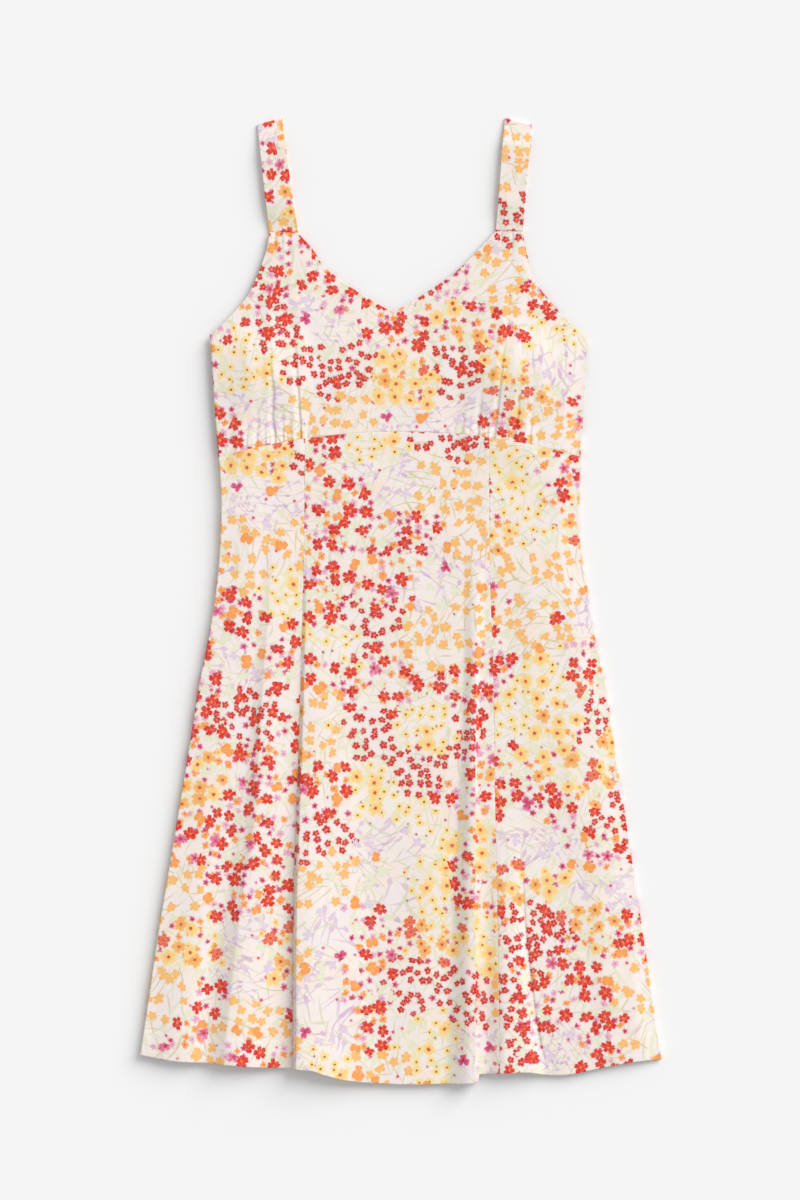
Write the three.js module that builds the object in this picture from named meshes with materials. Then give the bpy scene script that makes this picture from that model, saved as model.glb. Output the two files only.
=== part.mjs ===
// A sundress laid flat on a table, front up: two wide straps, a bodice gathered under the bust
// and a flared skirt with three front panels. Millimetres: X across, Y towards the straps, Z up.
import * as THREE from 'three';

// Cloth and seams
const CLOTH = 1.2;
const SEAM_GAP = 0.3;
const FRONT_REST = CLOTH + SEAM_GAP;
const LOFT = 1.3;
const LOFT_EASE = 38;
const STEEPEST_OFFSET = 3;

// Side edges of the dress, from the hem up to the underarm
const SIDES = [
  { y: -476, left: -273.5, right: 273.5 },
  { y: -443, left: -268.5, right: 268.5 },
  { y: -342, left: -253.5, right: 253.6 },
  { y: -241, left: -236.5, right: 238.5 },
  { y: -141, left: -220, right: 223 },
  { y: -90, left: -212, right: 215.8 },
  { y: -40, left: -202, right: 205 },
  { y: 10, left: -194, right: 197 },
  { y: 61, left: -189.5, right: 188.8 },
  { y: 111, left: -188.5, right: 188 },
  { y: 162, left: -192, right: 189.5 },
  { y: 212, left: -196, right: 193.5 },
  { y: 277.5, left: -200, right: 196.5 },
];

// Under-bust seam: an arc, highest at the middle of the front
const UNDERBUST_Y = 178;
const UNDERBUST_DROP = 26;
const UNDERBUST_HALF_WIDTH = 187;

// The two long seams between the three front skirt panels
const LEFT_PANEL_SEAM = [
  { y: -490, x: -113 },
  { y: -313, x: -112 },
  { y: -130, x: -106 },
  { y: 71, x: -101 },
  { y: 171, x: -100 },
];
const RIGHT_PANEL_SEAM = [
  { y: -500, x: 104 },
  { y: -376, x: 102.4 },
  { y: -192, x: 98.8 },
  { y: -69, x: 97 },
  { y: 25, x: 93.8 },
  { y: 172, x: 92.7 },
];

// Hem, which steps where a fold of the centre panel hangs lower than what is beside it
const HEM_STEP_X = 82;
const HEM_LEFT_OF_STEP = [
  { x: -273.5, y: -475 },
  { x: -235, y: -481.5 },
  { x: -190, y: -484 },
  { x: -154, y: -487.5 },
  { x: -94, y: -490.5 },
  { x: -77, y: -496 },
  { x: -53, y: -502 },
  { x: 0, y: -506 },
  { x: 56, y: -505 },
  { x: 82, y: -503 },
];
const HEM_RIGHT_OF_STEP = [
  { x: 82, y: -495.5 },
  { x: 131, y: -493 },
  { x: 155, y: -496.5 },
  { x: 179, y: -495.5 },
  { x: 205, y: -490 },
  { x: 243, y: -483 },
  { x: 273.5, y: -480 },
];

// Folds of the skirt. Each row gives the crest's place and height at one level, the flat width of
// its top, and how far each flank runs out. A negative height is a trough.
const SKIRT_FOLDS = {
  sideRipple: [
    { y: -479, crest: -224, height: 3.5, flat: 0, left: 42, right: 26 },
    { y: -340, crest: -214, height: 2, flat: 0, left: 34, right: 24 },
    { y: -150, crest: -190, height: 0, flat: 0, left: 26, right: 22 },
  ],
  leftPanel: [
    { y: -479, crest: -184.5, height: 8, flat: 2, left: 13, right: 64 },
    { y: -395, crest: -175.5, height: 7, flat: 2, left: 12, right: 58 },
    { y: -330, crest: -166.5, height: 6.2, flat: 2, left: 11, right: 51 },
    { y: -285, crest: -158.5, height: 5.6, flat: 2, left: 11, right: 45 },
    { y: -240, crest: -152, height: 5, flat: 2, left: 11, right: 40 },
    { y: -131, crest: -147, height: 3.6, flat: 1, left: 11, right: 38 },
    { y: 25, crest: -136, height: 1.2, flat: 0, left: 11, right: 32 },
    { y: 90, crest: -132, height: 0, flat: 0, left: 11, right: 28 },
  ],
  leftSeam: [
    { y: -490, crest: -103.5, height: 11, flat: 3, left: 9, right: 90 },
    { y: -313, crest: -102.5, height: 8.5, flat: 3, left: 9, right: 84 },
    { y: -130, crest: -96.5, height: 4.6, flat: 2, left: 9, right: 72 },
    { y: 0, crest: -93, height: 1.6, flat: 0, left: 8, right: 60 },
    { y: 60, crest: -92, height: 0, flat: 0, left: 8, right: 50 },
  ],
  rightOfCentre: [
    { y: -503, crest: 73, height: 9, flat: 5.5, left: 27, right: 4 },
    { y: -300, crest: 74, height: 7.4, flat: 4.5, left: 20, right: 4 },
    { y: -154, crest: 75.5, height: 5.2, flat: 3, left: 14, right: 6 },
    { y: -40, crest: 77, height: 3, flat: 2, left: 12, right: 10 },
    { y: 72, crest: 78, height: 0, flat: 2, left: 12, right: 10 },
  ],
  rightSeam: [
    { y: -495, crest: 111, height: 6.5, flat: 1, left: 23, right: 52 },
    { y: -340, crest: 109, height: 3.6, flat: 1, left: 20, right: 46 },
    { y: -210, crest: 107, height: 0, flat: 0, left: 18, right: 40 },
  ],
  rightTrough: [
    { y: -495, crest: 154, height: -2.2, flat: 0, left: 14, right: 20 },
    { y: -441, crest: 143, height: -2, flat: 0, left: 12, right: 18 },
    { y: -338, crest: 131, height: -1.2, flat: 0, left: 10, right: 16 },
    { y: -200, crest: 126, height: 0, flat: 0, left: 10, right: 14 },
  ],
};

// Straps: the corners where each is sewn to the front bodice, and the middle of its top fold
const STRAPS = {
  strap_left: {
    left: new THREE.Vector2(-137.7, 387),
    right: new THREE.Vector2(-107.6, 386.4),
    fold: new THREE.Vector2(-138, 504.5),
  },
  strap_right: {
    left: new THREE.Vector2(99.8, 389.6),
    right: new THREE.Vector2(128, 387),
    fold: new THREE.Vector2(124.1, 504.5),
  },
};
const STRAP_TURN_STEPS = 6;
const BACK_TOP = 277;

// Edge of the bodice: each armhole from the underarm up, each half neckline from the strap down
const UNDERARM_LEFT = new THREE.Vector2(-200, 278.5);
const UNDERARM_RIGHT = new THREE.Vector2(196.5, 275);
const NECK_POINT = new THREE.Vector2(-8, 303);
const ARMHOLE_LEFT = [
  { x: -183, y: 294 },
  { x: -161.2, y: 319 },
  { x: -146.8, y: 350 },
  { x: -139.5, y: 372 },
];
const NECKLINE_LEFT = [
  { x: -91.9, y: 369 },
  { x: -80.5, y: 352 },
  { x: -57.6, y: 333 },
  { x: -22, y: 310.8 },
];
const NECKLINE_RIGHT = [
  { x: 90, y: 377.5 },
  { x: 58, y: 345.5 },
  { x: 18, y: 318 },
];
const ARMHOLE_RIGHT = [
  { x: 167.5, y: 303 },
  { x: 142.5, y: 334 },
  { x: 132.8, y: 363 },
];

// Where the bodice's cloth columns under each strap's edges and the neck point start at the seam
const STRAP_COLUMNS = { left: [-139, -105.5], right: [87.7, 117] };

// Gathers above the under-bust seam: place along it, how far up each runs, and its depth there
const GATHERS = [
  { x: -173.8, reach: 20, depth: 1.1 },
  { x: -161.2, reach: 27, depth: 1.5 },
  { x: -150.7, reach: 30, depth: 1.6 },
  { x: -142.3, reach: 60, depth: 1.8 },
  { x: -131.3, reach: 62, depth: 1.9 },
  { x: -123.4, reach: 28, depth: 1.6 },
  { x: -113.9, reach: 24, depth: 1.4 },
  { x: -102.9, reach: 96, depth: 1.7 },
  { x: 64, reach: 24, depth: 1.2 },
  { x: 80.3, reach: 34, depth: 1.7 },
  { x: 91.9, reach: 26, depth: 1.4 },
  { x: 99.8, reach: 84, depth: 1.9 },
  { x: 119.2, reach: 48, depth: 1.7 },
  { x: 136, reach: 50, depth: 1.5 },
];
const GATHER_HALF_WIDTH = 3;
const GATHER_SPREAD = 1.6;
const PUFF = 1.7;
const PUFF_REACH = 80;
const PUFF_ZONES = [
  { from: -182, to: -94 },
  { from: 56, to: 145 },
];
const PUFF_EASE = 14;

// Small tucks just under the straps, on the same columns of cloth
const STRAP_TUCKS = [
  { x: -131.3, reach: 34, depth: 0.9 },
  { x: -123.4, reach: 46, depth: 0.8 },
  { x: -113.9, reach: 38, depth: 0.9 },
  { x: 94, reach: 30, depth: 0.8 },
  { x: 106, reach: 52, depth: 0.9 },
];

// The fullness of the bust, which stays in the cloth when it lies flat
const BUST_DOMES = [
  { x: -139, y: 241, height: 5.5, radius: 64 },
  { x: 116, y: 241, height: 5.5, radius: 64 },
];

// The back, which lies on the table and is a little smaller than the front all round
const BACK_INSET = 0.8;
const BACK_HEM_Y = -489;
const BACK_HEM_RISE = 19;
const BACK_HEM_HALF_WIDTH = 272;
const BACK_STEPS = 14;

// Steps of the grids of cloth points
const SKIRT_ROWS = 24;
const BODICE_ROWS = 17;
const BODICE_ROW_CROWDING = 1.45;
const BODICE_COLUMN_STEP = 9.5;
const BODICE_LEAST_COLUMN = 1.6;

// A smooth curve through the rows of a table, read at any value of its key column
function curveThrough(table, key, column) {
  const rows = [...table].sort((a, b) => a[key] - b[key]);
  const slopes = rows.map((row, i) => {
    const before = rows[Math.max(i - 1, 0)];
    const after = rows[Math.min(i + 1, rows.length - 1)];
    return (after[column] - before[column]) / (after[key] - before[key]);
  });
  const last = rows.length - 1;
  return (at) => {
    if (at <= rows[0][key]) return rows[0][column] + slopes[0] * (at - rows[0][key]);
    if (at >= rows[last][key]) return rows[last][column] + slopes[last] * (at - rows[last][key]);
    let i = 0;
    while (at > rows[i + 1][key]) i += 1;
    const span = rows[i + 1][key] - rows[i][key];
    const t = (at - rows[i][key]) / span;
    const t2 = t * t;
    const t3 = t2 * t;
    return (
      (2 * t3 - 3 * t2 + 1) * rows[i][column] +
      (t3 - 2 * t2 + t) * span * slopes[i] +
      (3 * t2 - 2 * t3) * rows[i + 1][column] +
      (t3 - t2) * span * slopes[i + 1]
    );
  };
}

const lerp = THREE.MathUtils.lerp;
const sideLeft = curveThrough(SIDES, 'y', 'left');
const sideRight = curveThrough(SIDES, 'y', 'right');
const seamLeft = curveThrough(LEFT_PANEL_SEAM, 'y', 'x');
const seamRight = curveThrough(RIGHT_PANEL_SEAM, 'y', 'x');
const hemLeftOfStep = curveThrough(HEM_LEFT_OF_STEP, 'x', 'y');
const hemRightOfStep = curveThrough(HEM_RIGHT_OF_STEP, 'x', 'y');
const underbust = (x) => UNDERBUST_Y - UNDERBUST_DROP * (x / UNDERBUST_HALF_WIDTH) ** 2;
const hem = (x) => (x < HEM_STEP_X ? hemLeftOfStep(x) : hemRightOfStep(x));
const backHem = (x) => BACK_HEM_Y + BACK_HEM_RISE * (x / BACK_HEM_HALF_WIDTH) ** 2;

// An S-shaped ramp from 0 to 1
const ease = (t) => THREE.MathUtils.smoothstep(t, 0, 1);

// The level where a line x(y) crosses an edge y(x)
function crossing(line, edge, start) {
  let y = start;
  for (let i = 0; i < 6; i += 1) y = edge(line(y));
  return y;
}

// Each fold's columns as curves, and the height that a fold adds at a point
const folds = Object.values(SKIRT_FOLDS).map((rows) => {
  const curve = {};
  for (const column of ['crest', 'height', 'flat', 'left', 'right']) {
    curve[column] = curveThrough(rows, 'y', column);
  }
  curve.top = Math.max(...rows.map((row) => row.y));
  return curve;
});

function foldHeight(fold, x, y) {
  if (y > fold.top) return 0;
  const fromCrest = x - fold.crest(y);
  if (fromCrest < 0) return fold.height(y) * ease(1 + fromCrest / fold.left(y));
  const pastFlat = Math.max(fromCrest - fold.flat(y), 0);
  return fold.height(y) * ease(1 - pastFlat / fold.right(y));
}

function sideLoft(x, y) {
  const fromSide = Math.min(x - sideLeft(y), sideRight(y) - x);
  return LOFT * ease(fromSide / LOFT_EASE);
}

function skirtHeight(x, y) {
  const folded = folds.reduce((sum, fold) => sum + foldHeight(fold, x, y), 0);
  return Math.max(FRONT_REST + sideLoft(x, y) + folded, FRONT_REST);
}

// A closed wall over a grid of underside points: rows run away from the straps, columns to the
// right. The top is lifted so far that the cloth is as thick on a slope as on the flat.
function clothWall(grid) {
  const down = grid.length;
  const across = grid[0].length;
  const under = [];
  const over = [];
  for (let i = 0; i < down; i += 1) {
    for (let j = 0; j < across; j += 1) {
      const east = grid[i][Math.min(j + 1, across - 1)].clone().sub(grid[i][Math.max(j - 1, 0)]);
      const south = grid[Math.min(i + 1, down - 1)][j].clone().sub(grid[Math.max(i - 1, 0)][j]);
      const normal = south.cross(east).normalize();
      const lift = CLOTH * Math.min(1 / normal.z, STEEPEST_OFFSET);
      const p = grid[i][j];
      under.push(p.x, p.y, p.z);
      over.push(p.x, p.y, p.z + lift);
    }
  }
  const overStart = down * across;
  const faces = [];
  for (let i = 0; i < down - 1; i += 1) {
    for (let j = 0; j < across - 1; j += 1) {
      const a = i * across + j;
      const b = a + 1;
      const c = a + across;
      const d = c + 1;
      faces.push(overStart + a, overStart + c, overStart + b);
      faces.push(overStart + b, overStart + c, overStart + d);
      faces.push(a, b, c, b, d, c);
    }
  }
  const rim = [];
  for (let j = 0; j < across - 1; j += 1) rim.push(j);
  for (let i = 0; i < down - 1; i += 1) rim.push(i * across + across - 1);
  for (let j = across - 1; j > 0; j -= 1) rim.push((down - 1) * across + j);
  for (let i = down - 1; i > 0; i -= 1) rim.push(i * across);
  rim.forEach((from, k) => {
    const to = rim[(k + 1) % rim.length];
    faces.push(from, overStart + to, to, from, overStart + from, overStart + to);
  });
  const geometry = new THREE.BufferGeometry();
  geometry.setAttribute('position', new THREE.Float32BufferAttribute([...under, ...over], 3));
  geometry.setIndex(faces);
  geometry.computeVertexNormals();
  return geometry;
}

// A skirt panel is a row of strips between lines x(y), each with its own number of columns
function skirtPanel(lines, columnCounts) {
  const columns = [];
  columnCounts.forEach((count, strip) => {
    const first = strip === 0 ? 0 : 1;
    for (let k = first; k <= count; k += 1) {
      columns.push((y) => lerp(lines[strip](y), lines[strip + 1](y), k / count));
    }
  });
  const ends = columns.map((column) => ({
    column,
    top: crossing(column, underbust, UNDERBUST_Y) - SEAM_GAP / 2,
    bottom: crossing(column, hem, BACK_HEM_Y),
  }));
  const grid = [];
  for (let i = 0; i <= SKIRT_ROWS; i += 1) {
    grid.push(ends.map(({ column, top, bottom }) => {
      const y = lerp(top, bottom, i / SKIRT_ROWS);
      const x = column(y);
      return new THREE.Vector3(x, y, skirtHeight(x, y));
    }));
  }
  return clothWall(grid);
}

// Lines beside the folds, on which the columns of the skirt panels run
const foldLines = {};
Object.keys(SKIRT_FOLDS).forEach((name, i) => {
  const { crest, flat, left, right } = folds[i];
  const inFold = (line) => (y) => line(Math.min(y, folds[i].top));
  foldLines[name] = {
    leftFoot: inFold((y) => crest(y) - left(y)),
    crest: inFold(crest),
    shoulder: inFold((y) => crest(y) + flat(y)),
    rightFoot: inFold((y) => crest(y) + flat(y) + right(y)),
  };
});

function leftPanel() {
  const { leftFoot, crest } = foldLines.leftPanel;
  const inner = (y) => seamLeft(y) - SEAM_GAP / 2;
  return skirtPanel([sideLeft, leftFoot, crest, inner], [8, 4, 6]);
}

function centrePanel() {
  const first = foldLines.leftSeam;
  const second = foldLines.rightOfCentre;
  const outerLeft = (y) => seamLeft(y) + SEAM_GAP / 2;
  const outerRight = (y) => seamRight(y) - SEAM_GAP / 2;
  const lines = [
    outerLeft, first.crest, second.leftFoot, second.crest, second.shoulder, second.rightFoot,
    outerRight,
  ];
  return skirtPanel(lines, [4, 13, 5, 2, 3, 3]);
}

function rightPanel() {
  const { crest } = foldLines.rightSeam;
  const trough = foldLines.rightTrough.crest;
  const inner = (y) => seamRight(y) + SEAM_GAP / 2;
  return skirtPanel([inner, crest, trough, sideRight], [3, 4, 11]);
}

// The bodice's top edge as six stretches, between the columns that run up to their ends
function bodiceTopEdge() {
  const { strap_left: strapLeft, strap_right: strapRight } = STRAPS;
  const points = (rows) => rows.map((row) => new THREE.Vector2(row.x, row.y));
  const stretches = [
    new THREE.SplineCurve([UNDERARM_LEFT, ...points(ARMHOLE_LEFT), strapLeft.left]),
    new THREE.LineCurve(strapLeft.left, strapLeft.right),
    new THREE.SplineCurve([strapLeft.right, ...points(NECKLINE_LEFT), NECK_POINT]),
    new THREE.SplineCurve([NECK_POINT, ...points(NECKLINE_RIGHT).reverse(), strapRight.left]),
    new THREE.LineCurve(strapRight.left, strapRight.right),
    new THREE.SplineCurve([strapRight.right, ...points(ARMHOLE_RIGHT).reverse(), UNDERARM_RIGHT]),
  ];
  const cornerLeft = sideLeft(crossing(sideLeft, underbust, UNDERBUST_Y));
  const cornerRight = sideRight(crossing(sideRight, underbust, UNDERBUST_Y));
  const starts = [
    cornerLeft, ...STRAP_COLUMNS.left, NECK_POINT.x, ...STRAP_COLUMNS.right, cornerRight,
  ];
  return { stretches, starts };
}

// Where the bodice's columns start: at its corners, on and beside each gather, and between them
function bodiceColumns(starts) {
  const wanted = [...starts];
  for (const { x } of GATHERS) {
    for (const beside of [x, x - GATHER_HALF_WIDTH, x + GATHER_HALF_WIDTH]) {
      const isClear = wanted.every((other) => Math.abs(other - beside) > BODICE_LEAST_COLUMN);
      if (isClear) wanted.push(beside);
    }
  }
  wanted.sort((a, b) => a - b);
  const columns = [wanted[0]];
  for (let k = 1; k < wanted.length; k += 1) {
    const gap = wanted[k] - wanted[k - 1];
    const count = Math.ceil(gap / BODICE_COLUMN_STEP);
    for (let n = 1; n <= count; n += 1) columns.push(wanted[k - 1] + (gap * n) / count);
  }
  return columns;
}

// A groove along a column of cloth, deepest at the seam that makes it and fading away from it
function groove({ x, reach, depth }, column, away) {
  const fade = 1 - ease(away / reach);
  const halfWidth = GATHER_HALF_WIDTH * (1 + GATHER_SPREAD * (1 - fade));
  return depth * fade * ease(1 - Math.abs(column - x) / halfWidth);
}

function bodiceHeight(p, column, share, length) {
  const above = share * length;
  const domes = BUST_DOMES.reduce((sum, { x, y, height, radius }) => {
    const off = Math.hypot(p.x - x, p.y - y) / radius;
    return sum + height * Math.max(1 - off * off, 0) ** 2;
  }, 0);
  const puffs = PUFF_ZONES.reduce((sum, { from, to }) => {
    const inside = Math.min(column - from, to - column);
    return sum + PUFF * ease(inside / PUFF_EASE) * (1 - ease(above / PUFF_REACH));
  }, 0);
  const gathers = GATHERS.reduce((sum, row) => sum + groove(row, column, above), 0);
  const tucks = STRAP_TUCKS.reduce((sum, row) => sum + groove(row, column, length - above), 0);
  const loft = sideLoft(p.x, Math.min(p.y, UNDERARM_RIGHT.y)) * (1 - ease(2 * share - 1));
  return Math.max(FRONT_REST + loft + domes + puffs - gathers - tucks, FRONT_REST);
}

function frontBodice() {
  const { stretches, starts } = bodiceTopEdge();
  const columns = bodiceColumns(starts);
  const grid = [];
  for (let i = 0; i <= BODICE_ROWS; i += 1) {
    const share = (1 - i / BODICE_ROWS) ** BODICE_ROW_CROWDING;
    grid.push(columns.map((column) => {
      let k = 0;
      while (k < stretches.length - 1 && column > starts[k + 1]) k += 1;
      const along = (column - starts[k]) / (starts[k + 1] - starts[k]);
      const top = stretches[k].getPointAt(THREE.MathUtils.clamp(along, 0, 1));
      const bottom = new THREE.Vector2(column, underbust(column) + SEAM_GAP / 2);
      const p = bottom.clone().lerp(top, share);
      const height = bodiceHeight(p, column, share, bottom.distanceTo(top));
      return new THREE.Vector3(p.x, p.y, height);
    }));
  }
  return clothWall(grid);
}

// Flat cloth with a given outline, lying on the table
function flatCloth(outline) {
  return new THREE.ExtrudeGeometry(new THREE.Shape(outline), { depth: CLOTH, bevelEnabled: false });
}

function stepsAlong(from, to, at) {
  return Array.from({ length: BACK_STEPS + 1 }, (_, k) => at(lerp(from, to, k / BACK_STEPS)));
}

function backBodice() {
  const left = (y) => sideLeft(y) + BACK_INSET;
  const right = (y) => sideRight(y) - BACK_INSET;
  const lowLeft = crossing(left, underbust, UNDERBUST_Y);
  const lowRight = crossing(right, underbust, UNDERBUST_Y);
  const seamPoint = (x) => new THREE.Vector2(x, underbust(x) + SEAM_GAP / 2);
  return flatCloth([
    ...stepsAlong(left(lowLeft), right(lowRight), seamPoint),
    new THREE.Vector2(right(BACK_TOP), BACK_TOP),
    new THREE.Vector2(left(BACK_TOP), BACK_TOP),
  ]);
}

function backSkirt() {
  const left = (y) => sideLeft(y) + BACK_INSET;
  const right = (y) => sideRight(y) - BACK_INSET;
  const highLeft = crossing(left, underbust, UNDERBUST_Y) - SEAM_GAP / 2;
  const highRight = crossing(right, underbust, UNDERBUST_Y) - SEAM_GAP / 2;
  const lowLeft = crossing(left, backHem, BACK_HEM_Y);
  const lowRight = crossing(right, backHem, BACK_HEM_Y);
  const rightEdge = stepsAlong(lowRight, highRight, (y) => new THREE.Vector2(right(y), y));
  const leftEdge = stepsAlong(highLeft, lowLeft, (y) => new THREE.Vector2(left(y), y));
  const hemEdge = stepsAlong(left(lowLeft), right(lowRight), (x) => new THREE.Vector2(x, backHem(x)));
  const seamPoint = (x) => new THREE.Vector2(x, underbust(x) - SEAM_GAP / 2);
  const seamEdge = stepsAlong(right(highRight), left(highLeft), seamPoint);
  return flatCloth([
    ...hemEdge, ...rightEdge.slice(1), ...seamEdge.slice(1), ...leftEdge.slice(1, -1),
  ]);
}

// A closed band through four-cornered sections
function loft(sections) {
  const corners = 4;
  const positions = sections.flat().flatMap((p) => [p.x, p.y, p.z]);
  const faces = [];
  for (let i = 0; i < sections.length - 1; i += 1) {
    for (let k = 0; k < corners; k += 1) {
      const a = i * corners + k;
      const b = i * corners + ((k + 1) % corners);
      faces.push(a, b, a + corners, b, b + corners, a + corners);
    }
  }
  const end = (sections.length - 1) * corners;
  faces.push(0, 2, 1, 0, 3, 2, end, end + 1, end + 2, end, end + 2, end + 3);
  const geometry = new THREE.BufferGeometry();
  geometry.setAttribute('position', new THREE.Float32BufferAttribute(positions, 3));
  geometry.setIndex(faces);
  geometry.computeVertexNormals();
  return geometry;
}

// One strap: it leaves the back's top edge on the table, turns over at the shoulder and comes
// down on itself to the front bodice
function strap({ left, right, fold }) {
  const base = left.clone().lerp(right, 0.5);
  const along = fold.clone().sub(base).normalize();
  const outer = CLOTH + SEAM_GAP / 2;
  const inner = SEAM_GAP / 2;
  const turnAt = fold.dot(along) - outer;
  const edges = [left, right].map((corner) => {
    const start = corner.dot(along);
    return {
      front: start + SEAM_GAP,
      back: start + (BACK_TOP + SEAM_GAP - corner.y) / along.y,
      point: (at, z) => {
        const p = corner.clone().addScaledVector(along, at - start);
        return new THREE.Vector3(p.x, p.y, z);
      },
    };
  });
  const section = (places, outside, inside) => [
    edges[0].point(places[0] + outside.ahead, outside.z),
    edges[0].point(places[0] + inside.ahead, inside.z),
    edges[1].point(places[1] + inside.ahead, inside.z),
    edges[1].point(places[1] + outside.ahead, outside.z),
  ];
  const ring = (radius, angle) => ({
    ahead: radius * Math.cos(angle),
    z: outer + radius * Math.sin(angle),
  });
  const layer = (radius, angle) => ({ ...ring(radius, angle), ahead: 0 });
  const low = -Math.PI / 2;
  const high = Math.PI / 2;
  const sections = [
    section(edges.map((edge) => edge.back), layer(outer, low), layer(inner, low)),
  ];
  for (let k = 0; k <= STRAP_TURN_STEPS; k += 1) {
    const angle = lerp(low, high, k / STRAP_TURN_STEPS);
    sections.push(section([turnAt, turnAt], ring(outer, angle), ring(inner, angle)));
  }
  sections.push(section(edges.map((edge) => edge.front), layer(outer, high), layer(inner, high)));
  return loft(sections);
}

function printedCloth() {
  return new THREE.MeshStandardMaterial({ color: 0xf3ebe4, roughness: 0.88, metalness: 0 });
}

const sundress = new THREE.Group();
function addPiece(name, geometry) {
  const mesh = new THREE.Mesh(geometry, printedCloth());
  mesh.name = name;
  sundress.add(mesh);
}

addPiece('front_bodice', frontBodice());
addPiece('front_skirt_left', leftPanel());
addPiece('front_skirt_centre', centrePanel());
addPiece('front_skirt_right', rightPanel());
addPiece('back_bodice', backBodice());
addPiece('back_skirt', backSkirt());
for (const [name, places] of Object.entries(STRAPS)) addPiece(name, strap(places));

export default sundress;
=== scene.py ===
# A sundress laid flat, front up, seen from straight above. Millimetres until a mesh is made.
import math

import bpy
import numpy as np
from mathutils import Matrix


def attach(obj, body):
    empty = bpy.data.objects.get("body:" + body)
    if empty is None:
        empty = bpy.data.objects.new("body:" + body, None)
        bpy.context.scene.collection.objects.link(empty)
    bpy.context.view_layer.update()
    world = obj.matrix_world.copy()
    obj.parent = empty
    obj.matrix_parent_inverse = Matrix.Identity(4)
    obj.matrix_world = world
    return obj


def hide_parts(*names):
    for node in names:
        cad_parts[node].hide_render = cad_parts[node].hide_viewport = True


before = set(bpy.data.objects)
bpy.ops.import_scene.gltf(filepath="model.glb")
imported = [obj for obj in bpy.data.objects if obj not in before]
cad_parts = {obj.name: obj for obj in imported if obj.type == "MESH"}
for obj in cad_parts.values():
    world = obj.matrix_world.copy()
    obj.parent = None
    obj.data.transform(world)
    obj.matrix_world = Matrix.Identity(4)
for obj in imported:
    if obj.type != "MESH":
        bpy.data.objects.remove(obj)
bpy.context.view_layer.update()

MM = 0.001

# Cloth and seams of the part, and how high and over what width the front rises from its sides
CLOTH = 1.2
SEAM_GAP = 0.3
FRONT_REST = CLOTH + SEAM_GAP
LOFT = 1.3
LOFT_EASE = 38

# The visible cloth: one layer and two layers, and the widths of the turned hem and edges
SHELL = 0.55
HEM_SHELL = 1.1
HEM_TURNING = 30
EDGE_TURNING = 8
TURNING_STEP = 0.8

# How the front is lifted off the back by the air under it, all over, at its top edge and beside
# its left and right sides, and how it comes down at its sides
FRONT_RAISE = 3.6
EDGE_RAISE = 0.9
EDGE_RAISE_REACH = 16
SIDE_LIFTS = (2.6, -2.0)
SIDE_REACHES = (64, 24)
SIDE_LOW = 1.25
SIDE_ROUNDING = (1.6, 0.8)
UNDERARM_ROOM = 4

# Rounding and stitching lines of the hem and the top edge, and dips and puckers along seams
HEM_DROP = 0.6
HEM_ROUNDING = 1.0
HEM_WAVE = 0.22
HEM_WAVE_SIZE = 14
HEM_WAVE_REACH = 9
HEM_STITCH = 0.22
HEM_STITCH_WIDTH = 1.3
EDGE_DROP = 0.3
EDGE_ROUNDING = 0.6
EDGE_WAVE = 0.12
EDGE_WAVE_SIZE = 6
EDGE_STITCH_AT = 6
EDGE_STITCH_WIDTH = 1.1
SEWN_GAP = 0.06
HALF_GAP = SEWN_GAP / 2
SEAM_DIP = 0.2
SEAM_DIP_REACH = 1.3
PUCKER = 0.16
PUCKER_SIZE = 5.5
PUCKER_REACH = 5
LARGE_PUCKER = 0.6

# Waves of loosely lying cloth: height, size and slant
LOOSE_WAVES = [(0.3, 46, 0.3), (0.14, 19, -0.2), (0.05, 7.5, 0)]

# A sheet is no thicker than the first value and the second share of its height, and its shading
# breaks where faces meet at a larger angle in degrees
LOW_SHELL = 0.3
LOW_SHELL_RISE = 0.4
SHARP_ANGLE = 50

# Steps of the grids of cloth points, which are closer beside an edge, but on no more than a share
# of a strip, and the rounds in which the ends of the columns settle on the curved seams
NEAR_EDGE = np.array([0, 0.35, 0.8, 1.4, 2.2, 3.3, 4.8, 6.5])
NEAR_EDGE_SHARE = 0.6
SETTLING_ROUNDS = 6
SPLINE_STEPS = 40
SKIRT_ROWS = 246
BODICE_ROWS = 78
BODICE_CROWDING = 0.86
BODICE_COLUMN_STEP = 0.92
BACK_ROWS = (110, 22)
STRAP_STEPS = (120, 90)
STRAP_TURN_STEPS = 13


def table(columns, *rows):
    """A table with named columns, as one array per column, sorted by the first one"""
    return dict(zip(columns.split(), np.array(sorted(rows), float).T))


# Side edges of the dress, from the hem up to the underarm
SIDES = table(
    "y left right",
    (-476, -273.5, 273.5),
    (-443, -268.5, 268.5),
    (-342, -253.5, 253.6),
    (-241, -236.5, 238.5),
    (-141, -220, 223),
    (-90, -212, 215.8),
    (-40, -202, 205),
    (10, -194, 197),
    (61, -189.5, 188.8),
    (111, -188.5, 188),
    (162, -192, 189.5),
    (212, -196, 193.5),
    (277.5, -200, 196.5),
)

# Under-bust seam: an arc, highest at the middle of the front
UNDERBUST_Y = 178
UNDERBUST_DROP = 26
UNDERBUST_HALF_WIDTH = 187

# The two long seams between the three front skirt panels
LEFT_PANEL_SEAM = table(
    "y x",
    (-490, -113),
    (-313, -112),
    (-130, -106),
    (71, -101),
    (171, -100),
)
RIGHT_PANEL_SEAM = table(
    "y x",
    (-500, 104),
    (-376, 102.4),
    (-192, 98.8),
    (-69, 97),
    (25, 93.8),
    (172, 92.7),
)

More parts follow.
